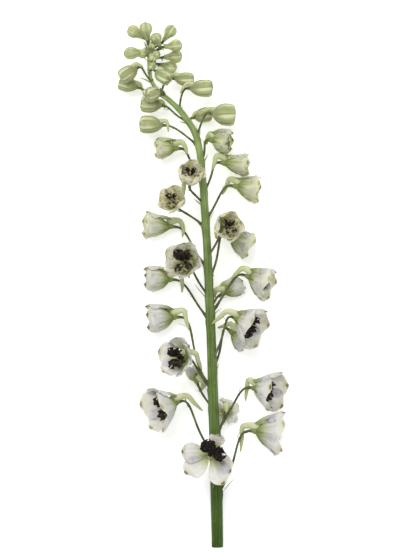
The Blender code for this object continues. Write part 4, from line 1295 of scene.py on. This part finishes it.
def add_folded_sepals(piece, looks, bud, index, skin=0):
    """The five folded sepals of a closed bud, each with one edge over its neighbour."""
    placer = spike_placer(bud)
    back = back_of(bud)
    age = 0.0 if bud.spur else 1.0
    along, across = grid(*BUD_GRID)
    body = bud.radius * girth(BUD_GIRTH if bud.spur else TIP_BUD_GIRTH, along)
    for number in range(5):
        seed = seed_of(index * 5 + number + 0.9)
        keel = np.exp(-(across / 0.25) ** 2) - 1.3 * np.abs(across) ** 5
        keel += 0.35 * np.cos(across * 12 + seed * 9)
        lift = looks.lap / MM * across * smooth_step(along, 0.0, 0.25) + looks.keel / MM * keel
        radius = body + lift * np.minimum(1, body / 2.5)
        phi = np.radians(number * 72 + 14 * along + across * (43 + 3 * seed))
        height = back + along * (1 - 0.05 * seed) * (bud.length - back)
        points = np.stack([radius * np.sin(phi), radius * np.cos(phi), height], axis=-1)
        thickness = looks.thickness / MM * (1 - 0.5 * np.abs(across) ** 4) * np.minimum(1, radius / 1.5)
        piece.add_sheet(rest_on_floor(placer(points)), thickness, along, across, seed, age, skin)


def make_bud(bud, index, looks, materials):
    """One closed bud's sepals and its spur, as one piece."""
    piece = Piece()
    add_folded_sepals(piece, looks, bud, index)
    if bud.spur:
        add_spur(piece, bud, BUD_KNEE, BUD_SPUR_SCALE, seed_of(index), spike_placer(bud), 1.0)
    piece.build(bud.name + "_folded", materials, "bud", bud.name)


# Operators, the panel and the stage

class DELPHINIUM_OT_stem(bpy.types.Operator):
    """Makes the stem with its stalks and bracts"""

    bl_idname = "delphinium.stem"
    bl_label = "Stem"

    def execute(self, context):
        looks = context.scene.delphinium_stem
        stalked = BLOOMS + BUDS
        piece = Piece()
        add_cut_face(piece, *add_stem(piece, looks, stalked))
        add_stalks(piece, looks, stalked)
        add_bracts(piece, looks, stalked)
        add_tip_bracts(piece, looks)
        buds = context.scene.delphinium_buds
        for index, bud in enumerate(SMALLEST_BUDS):
            add_folded_sepals(piece, buds, bud, index, SMALLEST_BUD_SKIN)
        makers = (stem_material, stalk_material, bract_material, pith_material)
        materials = [make(looks) for make in makers] + [bud_material(buds)]
        piece.build("stem_and_stalks", materials, "stem", "stem")
        return {"FINISHED"}


class DELPHINIUM_OT_blooms(bpy.types.Operator):
    """Makes the sepals, spur and receptacle of each open bloom"""

    bl_idname = "delphinium.blooms"
    bl_label = "Blooms"

    def execute(self, context):
        looks = context.scene.delphinium_sepals
        materials = [sepal_material(looks), spur_material(looks), receptacle_material(looks)]
        for index, bloom in enumerate(BLOOMS):
            make_bloom(bloom, index, looks, materials)
        return {"FINISHED"}


class DELPHINIUM_OT_eyes(bpy.types.Operator):
    """Makes the dark bearded petals and the stamens inside the open blooms"""

    bl_idname = "delphinium.eyes"
    bl_label = "Eyes"

    def execute(self, context):
        looks = context.scene.delphinium_eyes
        materials = [eye_material(looks), hair_material(looks), anther_material(looks)]
        for index, bloom in enumerate(BLOOMS):
            if bloom.eye:
                make_eye(bloom, index, looks, materials)
        return {"FINISHED"}


class DELPHINIUM_OT_buds(bpy.types.Operator):
    """Makes the closed buds and the cluster at the tip"""

    bl_idname = "delphinium.buds"
    bl_label = "Buds"

    def execute(self, context):
        looks = context.scene.delphinium_buds
        spur = bpy.data.materials.get("spur_skin") or spur_material(context.scene.delphinium_sepals)
        materials = [bpy.data.materials.get("bud_skin") or bud_material(looks), spur]
        for index, bud in enumerate(BUDS):
            make_bud(bud, index, looks, materials)
        return {"FINISHED"}


def area_light(name, size, place, power):
    data = bpy.data.lights.new(name, "AREA")
    data.energy = power
    data.size = size
    lamp = bpy.data.objects.new(name, data)
    lamp.location = place
    lamp.rotation_euler = (Vector(VIEW_MIDDLE) - Vector(place)).to_track_quat("-Z", "Y").to_euler()
    bpy.context.scene.collection.objects.link(lamp)


class DELPHINIUM_OT_stage(bpy.types.Operator):
    """Makes the pale floor, the soft light and the camera that looks down on the spike"""

    bl_idname = "delphinium.stage"
    bl_label = "Stage"

    def execute(self, context):
        looks = context.scene.delphinium_stage
        scene = context.scene
        mesh = bpy.data.meshes.new("floor")
        corners = ((-1, -1), (1, -1), (1, 1), (-1, 1))
        mesh.from_pydata([(x * FLOOR_REACH, y * FLOOR_REACH, 0) for x, y in corners], [], [(0, 1, 2, 3)])
        mesh.materials.append(paper_material(looks))
        floor = bpy.data.objects.new("floor", mesh)
        scene.collection.objects.link(floor)
        area_light(*KEY_LAMP, looks.key)
        area_light(*FILL_LAMP, looks.fill)
        world = bpy.data.worlds.new("studio")
        world.use_nodes = True
        background = world.node_tree.nodes["Background"]
        background.inputs["Color"].default_value = (1.0, 1.0, 1.0, 1.0)
        background.inputs["Strength"].default_value = looks.sky
        scene.world = world
        data = bpy.data.cameras.new("camera")
        data.lens = looks.lens
        data.sensor_width = SENSOR_WIDTH
        camera = bpy.data.objects.new("camera", data)
        camera.location = Vector(VIEW_MIDDLE) + Vector((0, 0, looks.field * looks.lens / SENSOR_WIDTH))
        scene.collection.objects.link(camera)
        scene.camera = camera
        scene.view_settings.view_transform = "Standard"
        return {"FINISHED"}


class DELPHINIUM_PT_panel(bpy.types.Panel):
    """The sidebar panel that lists what this add-on makes"""

    bl_idname = "DELPHINIUM_PT_panel"
    bl_label = "Delphinium spike"
    bl_space_type = "VIEW_3D"
    bl_region_type = "UI"
    bl_category = "Delphinium"

    def draw(self, context):
        for operator, group in OPERATORS:
            box = self.layout.box()
            box.operator(operator.bl_idname)
            looks = getattr(context.scene, group)
            for name in looks.bl_rna.properties.keys():
                if name not in ("rna_type", "name"):
                    box.prop(looks, name)


OPERATORS = (
    (DELPHINIUM_OT_stem, "delphinium_stem"),
    (DELPHINIUM_OT_blooms, "delphinium_sepals"),
    (DELPHINIUM_OT_eyes, "delphinium_eyes"),
    (DELPHINIUM_OT_buds, "delphinium_buds"),
    (DELPHINIUM_OT_stage, "delphinium_stage"),
)
LOOKS = {
    "delphinium_stem": DelphiniumStemLooks,
    "delphinium_sepals": DelphiniumSepalLooks,
    "delphinium_eyes": DelphiniumEyeLooks,
    "delphinium_buds": DelphiniumBudLooks,
    "delphinium_stage": DelphiniumStageLooks,
}


def register():
    for group, looks in LOOKS.items():
        bpy.utils.register_class(looks)
        setattr(bpy.types.Scene, group, PointerProperty(type=looks))
    for operator, _ in OPERATORS:
        bpy.utils.register_class(operator)
    bpy.utils.register_class(DELPHINIUM_PT_panel)


def unregister():
    bpy.utils.unregister_class(DELPHINIUM_PT_panel)
    for operator, _ in OPERATORS:
        bpy.utils.unregister_class(operator)
    for group, looks in LOOKS.items():
        delattr(bpy.types.Scene, group)
        bpy.utils.unregister_class(looks)


def main():
    register()
    bpy.ops.delphinium.stage()
    bpy.ops.delphinium.stem()
    bpy.ops.delphinium.blooms()
    bpy.ops.delphinium.eyes()
    bpy.ops.delphinium.buds()


if __name__ == "__main__":
    main()
